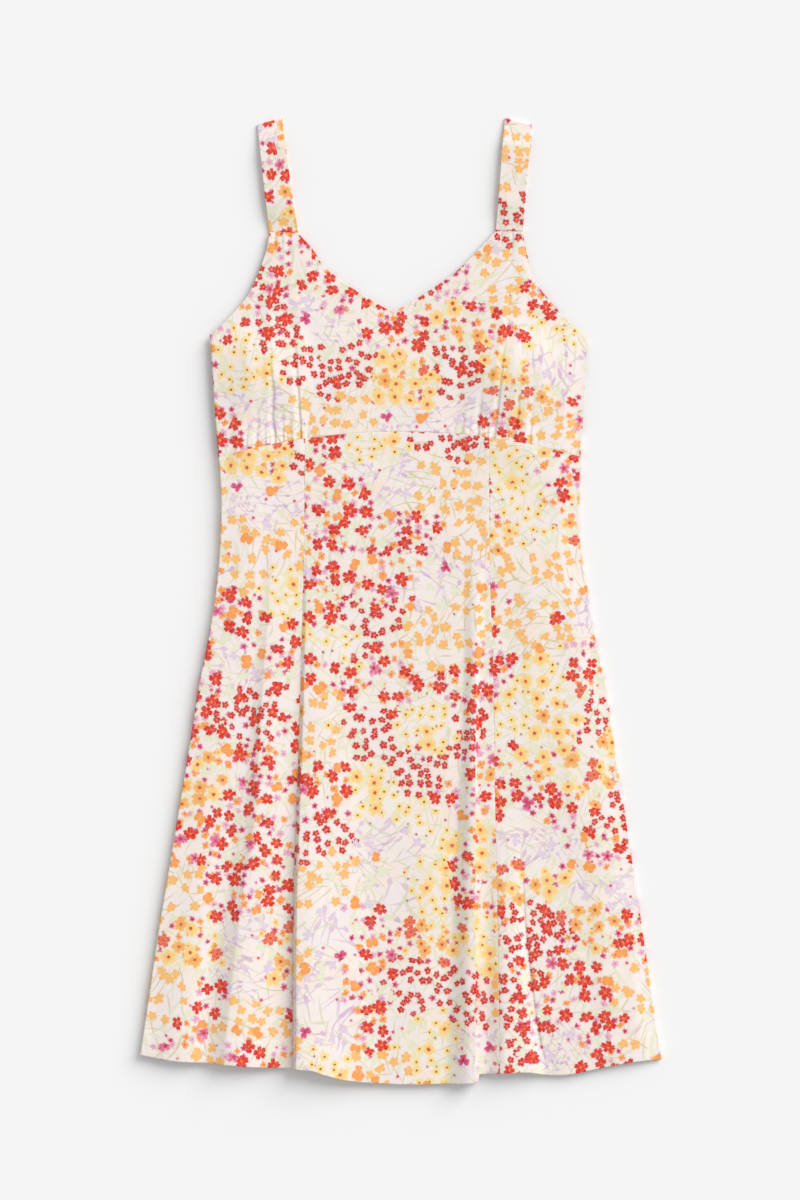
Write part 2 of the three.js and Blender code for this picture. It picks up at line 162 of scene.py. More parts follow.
# Hem, which steps where a fold of the centre panel hangs lower than what is beside it
HEM_STEP_X = 82
HEM_LEFT_OF_STEP = table(
    "x y",
    (-273.5, -475),
    (-235, -481.5),
    (-190, -484),
    (-154, -487.5),
    (-94, -490.5),
    (-77, -496),
    (-53, -502),
    (0, -506),
    (56, -505),
    (82, -503),
)
HEM_RIGHT_OF_STEP = table(
    "x y",
    (82, -495.5),
    (131, -493),
    (155, -496.5),
    (179, -495.5),
    (205, -490),
    (243, -483),
    (273.5, -480),
)

# Folds of the skirt: the crest's place and height at one level, the flat width of its top and
# how far each flank runs out. A negative height is a trough.
FOLD_COLUMNS = "y crest height flat left right"
SKIRT_FOLDS = {
    "side_ripple": table(
        FOLD_COLUMNS,
        (-479, -224, 3.5, 0, 42, 26),
        (-340, -214, 2, 0, 34, 24),
        (-150, -190, 0, 0, 26, 22),
    ),
    "left_panel": table(
        FOLD_COLUMNS,
        (-479, -184.5, 8, 2, 27, 64),
        (-395, -175.5, 7, 2, 25, 58),
        (-330, -168.5, 6.2, 2, 22, 51),
        (-285, -162, 5.6, 2, 20, 45),
        (-240, -154, 5, 2, 17, 40),
        (-131, -147, 3.6, 1, 13, 38),
        (25, -136, 1.2, 0, 11, 32),
        (90, -132, 0, 0, 11, 28),
    ),
    "left_seam": table(
        FOLD_COLUMNS,
        (-490, -108.8, 11, 3, 4.2, 90),
        (-313, -107.8, 8.5, 3, 4.2, 84),
        (-130, -101.6, 4.6, 2, 4.4, 72),
        (0, -98, 1.6, 0, 5, 60),
        (60, -96.5, 0, 0, 5, 50),
    ),
    "right_of_centre": table(
        FOLD_COLUMNS,
        (-503, 73, 9, 5.5, 27, 4),
        (-300, 74, 7.4, 4.5, 20, 4),
        (-154, 75.5, 5.2, 3, 14, 6),
        (-40, 77, 3, 2, 12, 10),
        (72, 78, 0, 2, 12, 10),
    ),
    "right_seam": table(
        FOLD_COLUMNS,
        (-495, 111, 6.5, 1, 23, 52),
        (-340, 109, 3.6, 1, 20, 46),
        (-210, 107, 0, 0, 18, 40),
    ),
    "right_trough": table(
        FOLD_COLUMNS,
        (-495, 154, -1.7, 0, 16, 20),
        (-441, 143, -1.5, 0, 14, 18),
        (-338, 131, -1, 0, 12, 16),
        (-200, 126, 0, 0, 10, 14),
    ),
    "right_crease": table(
        FOLD_COLUMNS,
        (-495, 154, -0.9, 0, 12, 1.3),
        (-441, 143, -1, 0, 12, 1.3),
        (-338, 131, -0.9, 0, 11, 1.3),
        (-250, 127.5, 0, 0, 9, 1.3),
    ),
}

# Straps: the corners where each is sewn to the front bodice, the middle of its top fold, how
# much lower the left end of that fold is than a square one, and how much narrower it is there
STRAPS = {
    "strap_left": {
        "left": (-137.7, 387), "right": (-107.6, 386.4), "fold": (-137.2, 504),
        "slant": 1.3, "narrowing": 0.1,
    },
    "strap_right": {
        "left": (99.8, 389.6), "right": (128, 387), "fold": (124.1, 504.5),
        "slant": -2.3, "narrowing": -0.03,
    },
}
BACK_TOP = 277

# Edge of the bodice: each armhole from the underarm up, each half neckline from the strap down,
# and the places along the under-bust seam whose columns end at the straps' corners
UNDERARM_LEFT = (-200, 278.5)
UNDERARM_RIGHT = (196.5, 275)
NECK_POINT = (-8, 303)
ARMHOLE_LEFT = [(-183, 294), (-161.2, 319), (-146.8, 350), (-139.5, 372)]
NECKLINE_LEFT = [(-91.9, 369), (-80.5, 352), (-57.6, 333), (-22, 310.8)]
NECKLINE_RIGHT = [(90, 377.5), (58, 345.5), (18, 318)]
ARMHOLE_RIGHT = [(167.5, 303), (142.5, 334), (132.8, 363)]
STRAP_COLUMNS = {"left": (-139, -105.5), "right": (87.7, 117)}

# Gathers above the under-bust seam: place along it, how far up each runs, and its depth there
GATHERS = table(
    "x reach depth",
    (-173.8, 26, 0.7),
    (-161.2, 44, 0.9),
    (-149.6, 58, 1.1),
    (-141.2, 40, 1.0),
    (-130.7, 150, 1.7),
    (-122.3, 46, 1.1),
    (-114.5, 44, 1.0),
    (-103.9, 155, 1.9),
    (64.6, 40, 1.0),
    (81.4, 66, 1.5),
    (91, 30, 0.9),
    (98.2, 170, 1.9),
    (109.5, 40, 0.9),
    (119.2, 80, 1.5),
    (136, 72, 1.2),
)
GATHER_GENTLE = 6.2
GATHER_STEEP = 1.35
GATHER_SPREAD = 1.7
GATHER_WANDER = 1.5
GATHER_WANDER_SIZE = 27
GATHER_STRAIGHT = 18

# How far the gathers lean outwards for each mm that they run up
GATHER_LEAN = table(
    "x lean",
    (-175, -0.03),
    (-130, -0.06),
    (-104, -0.055),
    (-97, -0.03),
    (57, 0),
    (98, 0.05),
    (119, 0.07),
    (150, 0.04),
)
PUFF = 1.7
PUFF_REACH = 80
PUFF_ZONES = [(-182, -94), (56, 145)]
PUFF_EASE = 14
SKIRT_PUFF_REACH = 36
CALM_REACH = 30
STRAP_TUCKS = table(
    "x reach depth",
    (-131.3, 34, 0.9),
    (-123.4, 46, 0.8),
    (-113.9, 38, 0.9),
    (94, 30, 0.8),
    (106, 52, 0.9),
)
BUST_DOMES = [(-139, 241, 5.5, 64), (116, 241, 5.5, 64)]

# The back, which lies on the table and is a little smaller than the front all round
BACK_INSET = 0.8
BACK_HEM_Y = -489
BACK_HEM_RISE = 19
BACK_HEM_HALF_WIDTH = 272

# Its fine dents, the flat and the eased stretch beside its edges, its rounded edges and stitches
BACK_DENT = 0.1
BACK_DENT_SIZE = 30
BACK_FLAT = 0.5
BACK_EASE = 12
BACK_EDGE_RISE = 0.25
BACK_ROUNDING = 0.8
BACK_STITCH = 0.15
BACK_STITCH_WIDTH = 1.2


def curve_through(rows, key, column):
    """A smooth curve through the rows of a table, straight beyond both of its ends"""
    keys = rows[key]
    values = rows[column]
    before = np.maximum(np.arange(len(keys)) - 1, 0)
    after = np.minimum(np.arange(len(keys)) + 1, len(keys) - 1)
    slopes = (values[after] - values[before]) / (keys[after] - keys[before])

    def at_place(at):
        at = np.asarray(at, float)
        i = np.clip(np.searchsorted(keys, at, side="right") - 1, 0, len(keys) - 2)
        span = keys[i + 1] - keys[i]
        t = (at - keys[i]) / span
        inside = (
            (2 * t**3 - 3 * t**2 + 1) * values[i]
            + (t**3 - 2 * t**2 + t) * span * slopes[i]
            + (3 * t**2 - 2 * t**3) * values[i + 1]
            + (t**3 - t**2) * span * slopes[i + 1]
        )
        low = values[0] + slopes[0] * (at - keys[0])
        high = values[-1] + slopes[-1] * (at - keys[-1])
        return np.where(at <= keys[0], low, np.where(at >= keys[-1], high, inside))

    return at_place


def ease(t):
    """An S-shaped ramp from 0 to 1"""
    t = np.clip(t, 0, 1)
    return t * t * (3 - 2 * t)


side_left = curve_through(SIDES, "y", "left")
side_right = curve_through(SIDES, "y", "right")
seam_left = curve_through(LEFT_PANEL_SEAM, "y", "x")
seam_right = curve_through(RIGHT_PANEL_SEAM, "y", "x")
hem_left_of_step = curve_through(HEM_LEFT_OF_STEP, "x", "y")
hem_right_of_step = curve_through(HEM_RIGHT_OF_STEP, "x", "y")


def underbust(x):
    return UNDERBUST_Y - UNDERBUST_DROP * (x / UNDERBUST_HALF_WIDTH) ** 2


def hem(x):
    return np.where(x < HEM_STEP_X, hem_left_of_step(x), hem_right_of_step(x))


def back_hem(x):
    return BACK_HEM_Y + BACK_HEM_RISE * (x / BACK_HEM_HALF_WIDTH) ** 2


def fold_curves(rows):
    curves = {name: curve_through(rows, "y", name) for name in FOLD_COLUMNS.split()[1:]}
    curves["top"] = rows["y"].max()
    return curves


FOLDS = {name: fold_curves(rows) for name, rows in SKIRT_FOLDS.items()}

# How far each fold's left flank is hollow towards its crest, from 0 for an S shape to 1
HOLLOW_FLANKS = {"left_panel": 0.8}
HOLLOW_POWER = 2.1

# Where a fold drops off as a cliff on its right: how wide that flank is beside its solid's, and
# the levels between which it widens to a soft one
CLIFF = {"right_of_centre": (0.012, -190, -20)}
CLIFF_WIDTH = 0.06


def fold_height(name, x, y):
    fold = FOLDS[name]
    from_crest = x - fold["crest"](y)
    up = np.clip(1 + from_crest / fold["left"](y), 0, 1)
    hollow = HOLLOW_FLANKS.get(name, 0)
    left_flank = (1 - hollow) * ease(up) + hollow * up**HOLLOW_POWER
    past_flat = np.maximum(from_crest - fold["flat"](y), 0)
    narrow, sheer_until, soft_from = CLIFF.get(name, (1, 0, 1))
    widening = ease((y - sheer_until) / (soft_from - sheer_until))
    share = narrow + (1 - narrow) * widening
    right_flank = ease(1 - past_flat / (fold["right"](y) * share))
    flank = np.where(from_crest < 0, left_flank, right_flank)
    return np.where(y > fold["top"], 0, fold["height"](y) * flank)


def side_loft(x, y):
    from_side = np.minimum(x - side_left(y), side_right(y) - x)
    return LOFT * ease(from_side / LOFT_EASE)


def skirt_height(x, y):
    folded = sum(fold_height(name, x, y) for name in FOLDS)
    return np.maximum(FRONT_REST + side_loft(x, y) + folded, FRONT_REST)


def rolled(height, low, distance, reach):
    """Height that falls to low in a quarter circle over the last stretch before an edge"""
    t = np.clip(distance / reach, 0, 1)
    return low + (height - low) * np.sqrt(1 - (1 - t) ** 2)


def smooth_noise(x, y, cell, seed):
    """Seeded noise from -1 to 1 that changes smoothly over cells of the given size"""
    size = 97
    grid = np.random.default_rng(seed).uniform(-1, 1, (size, size))
    u = x / cell + size * 8
    v = y / cell + size * 8
    i = np.floor(u).astype(int)
    j = np.floor(v).astype(int)
    s = ease(u - i)
    t = ease(v - j)
    low = grid[i % size, j % size] * (1 - s) + grid[(i + 1) % size, j % size] * s
    high = grid[i % size, (j + 1) % size] * (1 - s) + grid[(i + 1) % size, (j + 1) % size] * s
    return low * (1 - t) + high * t


# Soft creases, listed one by one: both ends, how far the middle bows to the left of that line, half
# width and height. A negative height is a trough. Each fades over a share of its length.
CREASE_COLUMNS = "x0 y0 x1 y1 bow width height"
CREASE_END = 0.35
SKIRT_CREASES = table(
    CREASE_COLUMNS,
    (-206, -12, -150, 60, -4, 7, 0.5),
    (-215, -110, -168, -40, 5, 8, 0.5),
    (-82, -168, -82, -380, 3, 3.2, -0.5),
    (-35, 40, -42, -190, 6, 16, 0.6),
    (10, 120, 6, -130, -6, 18, 0.6),
    (25, -200, 14, -480, 5, 20, 0.9),
    (-40, -260, -48, -490, -5, 16, 0.7),
    (135, 90, 152, -140, -6, 15, 0.7),
    (168, -60, 205, -300, -8, 15, 0.8),
    (205, -230, 228, -470, -6, 14, 0.9),
    (190, -330, 200, -490, 4, 9, -0.6),
    (235, -300, 250, -470, 3, 8, 0.6),
    (-150, 120, -170, -20, 4, 12, 0.5),
    (-60, 150, -66, 20, 3, 10, 0.4),
    (60, 150, 58, 10, -3, 10, 0.45),
    (-240, -300, -252, -440, 3, 8, 0.6),
    (-176, -205, -187, -350, 3, 2.2, -0.45),
    (-164, -190, -178, -330, 2, 2.2, 0.35),
)


def crease_height(creases, x, y):
    total = np.zeros_like(x)
    for x0, y0, x1, y1, bow, width, height in zip(*creases.values()):
        length = math.hypot(x1 - x0, y1 - y0)
        along_x = (x1 - x0) / length
        along_y = (y1 - y0) / length
        t = ((x - x0) * along_x + (y - y0) * along_y) / length
        aside = (y - y0) * along_x - (x - x0) * along_y - bow * 4 * t * (1 - t)
        ends = ease(t / CREASE_END) * ease((1 - t) / CREASE_END)
        total += height * ends * np.exp(-((aside / width) ** 2))
    return total


def rows_between(first, last, count, crowding=1.0):
    """Places from first to last for each column, with close rows beside both ends"""
    way = np.sign(last - first)
    near = NEAR_EDGE[:, None] * way
    start = first + near[-1]
    stop = last - near[-1]
    shares = np.arange(1, count)[:, None] / count
    middle = start + (stop - start) * shares**crowding
    return np.concatenate([first + near, middle, (last - near)[::-1]])


def skirt_grid(lines, counts, top_edge, bottom_edge, row_count, gap=HALF_GAP):
    """Points x, y of a skirt panel whose columns run between lines x(y)"""
    edge = NEAR_EDGE[-1]

    def inner_left(y):
        return lines[0](y) + np.minimum(edge, NEAR_EDGE_SHARE * (lines[1](y) - lines[0](y)))

    def inner_right(y):
        return lines[-1](y) - np.minimum(edge, NEAR_EDGE_SHARE * (lines[-1](y) - lines[-2](y)))

    inner = [inner_left, *lines[1:-1], inner_right]
    strips = [(lines[0], inner[0], NEAR_EDGE[:-1] / edge)]
    for k, count in enumerate(counts):
        strips.append((inner[k], inner[k + 1], np.arange(count) / count))
    strips.append((inner[-1], lines[-1], 1 - NEAR_EDGE[::-1] / edge))

    def places(y):
        parts = []
        start = 0
        for left, right, shares in strips:
            here = y[..., start:start + len(shares)]
            start += len(shares)
            parts.append(left(here) + (right(here) - left(here)) * shares)
        return np.concatenate(parts, axis=-1)

    total = sum(len(shares) for _, _, shares in strips)
    top = np.full(total, float(UNDERBUST_Y))
    bottom = np.full(total, float(BACK_HEM_Y))
    for _ in range(SETTLING_ROUNDS):
        top = top_edge(places(top))
        bottom = bottom_edge(places(bottom))
    y = rows_between(top - gap, bottom, row_count)
    return places(y), y


def slack(points, axis):
    """How much longer the cloth is than its plan, summed up along the rows or the columns"""
    step = np.diff(points, axis=axis)
    extra = np.linalg.norm(step, axis=2) - np.linalg.norm(step[..., :2], axis=2)
    return np.concatenate([np.zeros_like(extra.take([0], axis)), np.cumsum(extra, axis)], axis)


def turned_map(u, v, turn, shift):
    """Cloth coordinates in metres, turned by degrees and shifted by mm"""
    c = math.cos(math.radians(turn))
    s = math.sin(math.radians(turn))
    return np.stack([u * c - v * s + shift[0], u * s + v * c + shift[1]], axis=-1) * MM


def fabric_map(points, turn, shift):
    """Flat cloth coordinates: the plan, let out by what the cloth's slopes take up"""
    across = slack(points, 1)
    middle = points.shape[1] // 2
    u = points[..., 0] + across - across[:, middle:middle + 1]
    v = points[..., 1] - slack(points, 0)
    return turned_map(u, v, turn, shift)


def add_object(name, data):
    made = bpy.data.objects.new(name, data)
    bpy.context.scene.collection.objects.link(made)
    return made


PIECES = {}


def shell(node, top, bottom, uv):
    """Makes the closed sheet that stands for a node, from the grids of its top and bottom points"""
    down, across = top.shape[:2]
    index = np.arange(down * across).reshape(down, across)
    a = index[:-1, :-1].ravel()
    b = index[:-1, 1:].ravel()
    c = index[1:, 1:].ravel()
    d = index[1:, :-1].ravel()
    under = down * across
    rim = np.concatenate([index[0, :-1], index[:-1, -1], index[-1, :0:-1], index[:0:-1, 0]])
    after = np.roll(rim, -1)
    faces = np.concatenate([
        np.stack([a, d, c, b], 1),
        np.stack([a, b, c, d], 1) + under,
        np.stack([rim, after, after + under, rim + under], 1),
    ])
    points = np.concatenate([top.reshape(-1, 3), bottom.reshape(-1, 3)]) * MM
    name = f"cloth_{node}"
    mesh = bpy.data.meshes.new(name)
    mesh.from_pydata(points.tolist(), [], faces.tolist())
    both = np.concatenate([uv.reshape(-1, 2)] * 2)
    layer = mesh.uv_layers.new(name="cloth")
    corners = np.empty(len(mesh.loops), np.int32)
    mesh.loops.foreach_get("vertex_index", corners)
    layer.data.foreach_set("uv", both[corners].ravel())
    mesh.validate()
    mesh.shade_smooth()
    mesh.set_sharp_from_angle(angle=math.radians(SHARP_ANGLE))
    PIECES[node] = add_object(name, mesh)


def along_seam(distance, place, seed):
    """Small uneven puckers beside a seam, which fade away from it"""
    small = smooth_noise(place, place * 0, PUCKER_SIZE, seed)
    large = smooth_noise(place, place * 0, 2 * PUCKER_SIZE, seed + 1)
    return PUCKER * (small + LARGE_PUCKER * large) * np.exp(-distance / PUCKER_REACH)


def loose_waves(x, y, seed):
    """Soft unevenness of cloth that lies loosely, in waves of three heights, sizes and slants"""
    return sum(
        height * smooth_noise(x + slant * y, y, size, seed + k)
        for k, (height, size, slant) in enumerate(LOOSE_WAVES)
    )


def puffs_over_seam(column):
    """How much the cloth puffs up where the bodice is gathered into the under-bust seam"""
    inside = [np.minimum(column - low, high - column) for low, high in PUFF_ZONES]
    return sum(PUFF * ease(distance / PUFF_EASE) for distance in inside)


def stitches(distance, width):
    """The shape of a row of stitches: 1 on its line and 0 a little beside it"""
    return np.exp(-((distance / width) ** 2))


def side_lift(k, distance):
    """How much higher the front lies beside its left side (0) and lower beside its right one (1)"""
    return SIDE_LIFTS[k] * (1 - ease(distance / SIDE_REACHES[k]))


def front_panel(node, lines, counts, is_side, turn, shift, seed):
    """Makes a front skirt panel; is_side says which of its long edges are sides of the dress"""
    x, y = skirt_grid(lines, counts, underbust, hem, SKIRT_ROWS)
    z = skirt_height(x, y) + CLOTH
    from_top = y[0] - y
    from_hem = y - y[-1]
    from_stitches = from_hem - HEM_TURNING
    z = z + loose_waves(x, y, seed) * ease(from_top / CALM_REACH)
    z = z + crease_height(SKIRT_CREASES, x, y)
    z = z + FRONT_RAISE + along_seam(from_top, x, seed + 5)
    z = z + puffs_over_seam(x) * (1 - ease(from_top / SKIRT_PUFF_REACH))
    hem_wave = HEM_WAVE * smooth_noise(x, y * 0, HEM_WAVE_SIZE, seed + 9)
    z = z + hem_wave * stitches(from_stitches, HEM_WAVE_REACH)
    z = z - HEM_STITCH * stitches(from_stitches, HEM_STITCH_WIDTH)
    distances = [x - lines[0](y), lines[-1](y) - x]
    for k, distance in enumerate(distances):
        if is_side[k]:
            z = z + side_lift(k, distance)
            z = rolled(z, SIDE_LOW, distance, SIDE_ROUNDING[k])
        else:
            z = z + along_seam(distance, y, seed + 7)
            z = rolled(z, z - SEAM_DIP, distance, SEAM_DIP_REACH)
    z = rolled(z, z - SEAM_DIP, from_top, SEAM_DIP_REACH)
    z = rolled(z, z - HEM_SHELL * HEM_DROP, from_hem, HEM_ROUNDING)
    top = np.stack([x, y, z], axis=-1)
    doubled = ease(-from_stitches / TURNING_STEP)
    thickness = SHELL + (HEM_SHELL - SHELL) * doubled
    thickness = np.minimum(thickness, LOW_SHELL + z * LOW_SHELL_RISE)
    bottom = top.copy()
    bottom[..., 2] = np.maximum(z - thickness, SIDE_LOW - SHELL)
    shell(node, top, bottom, fabric_map(top, turn, shift))


def fold_line(name, *parts, way=1):
    """A line along a fold: its crest, moved right or left by the widths of the parts named"""
    fold = FOLDS[name]

    def line(y):
        y = np.minimum(y, fold["top"])
        x = fold["crest"](y)
        for part in parts:
            x = x + way * fold[part](y)
        return x

    return line


def left_foot(name):
    return fold_line(name, "left", way=-1)


def right_foot(name):
    return fold_line(name, "flat", "right")


def shoulder(name):
    return fold_line(name, "flat")


front_panel(
    "front_skirt_left",
    [side_left, left_foot("left_panel"), fold_line("left_panel"), lambda y: seam_left(y) - HALF_GAP],
    [36, 12, 32],
    (True, False),
    9,
    (310, 40),
    11,
)
front_panel(
    "front_skirt_centre",
    [
        lambda y: seam_left(y) + HALF_GAP,
        fold_line("left_seam"),
        left_foot("right_of_centre"),
        fold_line("right_of_centre"),
        shoulder("right_of_centre"),
        lambda y: shoulder("right_of_centre")(y) + CLIFF_WIDTH,
        right_foot("right_of_centre"),
        lambda y: seam_right(y) - HALF_GAP,
    ],
    [6, 74, 14, 5, 1, 5, 8],
    (False, False),
    0,
    (0, 0),
    31,
)
front_panel(
    "front_skirt_right",
    [
        lambda y: seam_right(y) + HALF_GAP,
        fold_line("right_seam"),
        left_foot("right_crease"),
        fold_line("right_crease"),
        right_foot("right_crease"),
        side_right,
    ],
    [12, 16, 6, 3, 50],
    (False, True),
    -9,
    (-330, 70),
    51,
)


def spline_points(points):
    """Evenly spaced places along a smooth curve through points, read by share of its length"""
    points = np.array(points, float)
    if len(points) == 2:
        dense = points
    else:
        padded_points = np.concatenate([points[:1], points, points[-1:]])
        t = np.linspace(0, 1, SPLINE_STEPS, endpoint=False)[:, None]
        pieces = []
        for p0, p1, p2, p3 in zip(*(padded_points[k:len(points) - 1 + k] for k in range(4))):
            v0 = (p2 - p0) / 2
            v1 = (p3 - p1) / 2
            pieces.append(
                (2 * p1 - 2 * p2 + v0 + v1) * t**3 + (-3 * p1 + 3 * p2 - 2 * v0 - v1) * t**2
                + v0 * t + p1
            )
        dense = np.concatenate(pieces + [points[-1:]])
    length = np.concatenate([[0], np.cumsum(np.linalg.norm(np.diff(dense, axis=0), axis=1))])
    return lambda share: np.stack(
        [np.interp(share * length[-1], length, dense[:, k]) for k in range(2)], axis=-1
    )


def bodice_plan():
    """Columns along the under-bust seam and the point of the top edge where each one ends"""
    left = STRAPS["strap_left"]
    right = STRAPS["strap_right"]
    stretches = [
        spline_points([UNDERARM_LEFT, *ARMHOLE_LEFT, left["left"]]),
        spline_points([left["left"], left["right"]]),
        spline_points([left["right"], *NECKLINE_LEFT, NECK_POINT]),
        spline_points([NECK_POINT, *NECKLINE_RIGHT[::-1], right["left"]]),
        spline_points([right["left"], right["right"]]),
        spline_points([right["right"], *ARMHOLE_RIGHT[::-1], UNDERARM_RIGHT]),
    ]
    corners = []
    for side in (side_left, side_right):
        y = float(UNDERBUST_Y)
        for _ in range(SETTLING_ROUNDS):
            y = underbust(side(y))
        corners.append(float(side(y)))
    columns_left = STRAP_COLUMNS["left"]
    columns_right = STRAP_COLUMNS["right"]
    starts = [corners[0], *columns_left, NECK_POINT[0], *columns_right, corners[1]]
    columns = [corners[0] + NEAR_EDGE[:-1]]
    inner = [corners[0] + NEAR_EDGE[-1], *starts[1:-1], corners[1] - NEAR_EDGE[-1]]
    for k in range(6):
        count = int((inner[k + 1] - inner[k]) / BODICE_COLUMN_STEP)
        columns.append(np.linspace(inner[k], inner[k + 1], count, endpoint=False))
    columns.append(corners[1] - NEAR_EDGE[::-1])
    columns = np.concatenate(columns)
    ends = np.zeros((len(columns), 2))
    for k, stretch in enumerate(stretches):
        share = np.clip((columns - starts[k]) / (starts[k + 1] - starts[k]), 0, 1)
        here = (columns >= starts[k]) if k else np.ones(len(columns), bool)
        ends[here] = stretch(share[here])
    return columns, ends


def grooves(rows, column, away, gentle):
    """Grooves along columns of cloth, steep on their right, deepest at the seam that makes them"""
    total = np.zeros(np.broadcast(column, away).shape)
    lean = curve_through(GATHER_LEAN, "x", "lean")
    for k, (x, reach, depth) in enumerate(zip(*rows.values())):
        fade = 1 - ease(away / reach)
        wander = smooth_noise(away, away * 0 + 40 * k, GATHER_WANDER_SIZE, 131)
        wander = wander * ease(away / GATHER_STRAIGHT)
        aside = column - x - lean(x) * away - GATHER_WANDER * wander
        opening = 1 + GATHER_SPREAD * (1 - fade)
        side = np.where(aside < 0, -aside / gentle, aside / (GATHER_STEEP * opening))
        total += depth * fade * ease(1 - side)
    return total


# Small gathers between the main ones
SMALL_GATHER_DEPTH = 0.6
SMALL_GATHER_GENTLE = 3
SMALL_GATHERS = table(
    "x reach depth",
    (-179, 14, 0.5),
    (-167.5, 22, 0.8),
    (-156, 16, 0.7),
    (-146.5, 20, 0.7),
    (-137, 30, 0.9),
    (-127.4, 18, 0.7),
    (-118.6, 30, 0.9),
    (-108.5, 16, 0.7),
    (-97, 34, 0.7),
    (57, 14, 0.5),
    (72, 26, 0.8),
    (86, 20, 0.8),
    (95.8, 18, 0.7),
    (105.5, 34, 0.9),
    (112.4, 20, 0.8),
    (127.5, 28, 0.9),
    (143, 18, 0.6),
    (150, 12, 0.4),
)
BODICE_CREASES = table(
    CREASE_COLUMNS,
    (-128, 204, -134, 330, 5, 6, 0.9),
    (-150, 196, -160, 300, 4, 8, 0.8),
    (-106, 200, -112, 345, -4, 7, 0.8),
    (96, 200, 106, 350, -5, 6, 0.9),
    (122, 204, 124, 320, 3, 7, 0.8),
    (142, 196, 150, 290, -3, 8, 0.7),
    (-60, 200, -70, 300, 4, 12, 0.5),
    (40, 200, 52, 310, -4, 12, 0.5),
)


def front_bodice():
    """Makes the front bodice, on columns of cloth that run up from the under-bust seam"""
    columns, ends = bodice_plan()
    bottom_y = underbust(columns) + HALF_GAP
    starts = np.stack([columns, bottom_y], axis=-1)
    length = np.linalg.norm(ends - starts, axis=1)
    above = rows_between(length, np.zeros(len(columns)), BODICE_ROWS, BODICE_CROWDING)
    share = above / length
    plan = starts + (ends - starts) * share[..., None]
    x = plan[..., 0]
    y = plan[..., 1]
    column = np.broadcast_to(columns, x.shape)
    domes = sum(
        height * np.maximum(1 - ((x - cx) ** 2 + (y - cy) ** 2) / radius**2, 0) ** 2
        for cx, cy, height, radius in BUST_DOMES
    )
    puffs = puffs_over_seam(column) * (1 - ease(above / PUFF_REACH))
    from_edge = length - above
    loft = side_loft(x, np.minimum(y, UNDERARM_RIGHT[1])) * (1 - ease(2 * share - 1))
    raised = EDGE_RAISE + (1 - EDGE_RAISE) * ease(from_edge / EDGE_RAISE_REACH)
    z = FRONT_REST + CLOTH + loft + domes + puffs + FRONT_RAISE * raised
    z = z - grooves(STRAP_TUCKS, column, from_edge, GATHER_GENTLE)
    z = z - grooves(GATHERS, column, above, GATHER_GENTLE)
    z = z - SMALL_GATHER_DEPTH * grooves(SMALL_GATHERS, column, above, SMALL_GATHER_GENTLE)
    z = z + loose_waves(x, y, 71) + crease_height(BODICE_CREASES, x, y)
    z = z + along_seam(above, x, 75)
    edge_wave = EDGE_WAVE * smooth_noise(column, column * 0, EDGE_WAVE_SIZE, 79)
    z = z + edge_wave * np.exp(-from_edge / EDGE_WAVE_SIZE)
    z = z - EDGE_WAVE * stitches(from_edge - EDGE_STITCH_AT, EDGE_STITCH_WIDTH)
    below = y < UNDERARM_RIGHT[1] + UNDERARM_ROOM
    for k, distance in enumerate((x - side_left(y), side_right(y) - x)):
        distance = np.maximum(distance, 0)
        z = z + side_lift(k, distance)
        z = np.where(below, rolled(z, SIDE_LOW, distance, SIDE_ROUNDING[k]), z)
    z = rolled(z, z - SEAM_DIP, above, SEAM_DIP_REACH)
    z = rolled(z, z - EDGE_DROP, from_edge, EDGE_ROUNDING)
    z = np.maximum(z, SIDE_LOW)
    top = np.stack([x, y, z], axis=-1)
    bottom = top.copy()
    doubled = ease((EDGE_TURNING - from_edge) / TURNING_STEP)
    bottom[..., 2] = np.maximum(z - SHELL - (HEM_SHELL - SHELL) * doubled, SIDE_LOW - SHELL)
    shell("front_bodice", top, bottom, fabric_map(top, 4, (150, -60)))


front_bodice()

# Long soft dents in the back, which lies on the table
BACK_CREASES = table(
    CREASE_COLUMNS,
    (-60, 100, -90, -300, 10, 10, 0.45),
    (70, 60, 110, -360, -12, 12, 0.45),
    (-150, -100, -190, -430, 8, 9, 0.4),
    (10, -150, 0, -460, -6, 12, 0.4),
    (160, -120, 200, -420, 6, 9, 0.4),
    (-120, 200, -60, 262, 4, 7, 0.35),
    (50, 190, 120, 255, -5, 8, 0.35),
)


def back_piece(node, x, y, seam_from, hem_from, turn, shift, seed):
    """Makes a piece of the back: flat on the table, with a few dents in its underside"""
    fine = smooth_noise(x, y, BACK_DENT_SIZE, seed)
    dents = crease_height(BACK_CREASES, x, y) + BACK_DENT * (1 + fine)
    edge = np.minimum.reduce([x - side_left(y), side_right(y) - x, seam_from, hem_from])
    inwards = np.clip(edge / BACK_ROUNDING, 0, 1)
    low = dents * ease((edge - BACK_FLAT) / BACK_EASE)
    low = low + BACK_EDGE_RISE * (1 - np.sqrt(1 - (1 - inwards) ** 2))
    low = low + BACK_STITCH * stitches(hem_from - HEM_TURNING, BACK_STITCH_WIDTH)
    bottom = np.stack([x, y, low], axis=-1)
    top = bottom.copy()
    top[..., 2] += SHELL
    shell(node, top, bottom, fabric_map(top, turn, shift))


BACK_LINES = [lambda y: side_left(y) + BACK_INSET, lambda y: side_right(y) - BACK_INSET]


def back_skirt():
    x, y = skirt_grid(BACK_LINES, [88], underbust, back_hem, BACK_ROWS[0])
    back_piece("back_skirt", x, y, y[0] - y, y - y[-1], 2, (420, 300), 91)


def back_bodice():
    def top_edge(x):
        return np.full_like(x, BACK_TOP)

    x, y = skirt_grid(BACK_LINES, [70], top_edge, underbust, BACK_ROWS[1], 0)
    y = y + HALF_GAP * (y[0] - y) / (y[0] - y[-1])
    back_piece("back_bodice", x, y, y - y[-1], y[0] - y, -3, (-260, 420), 95)


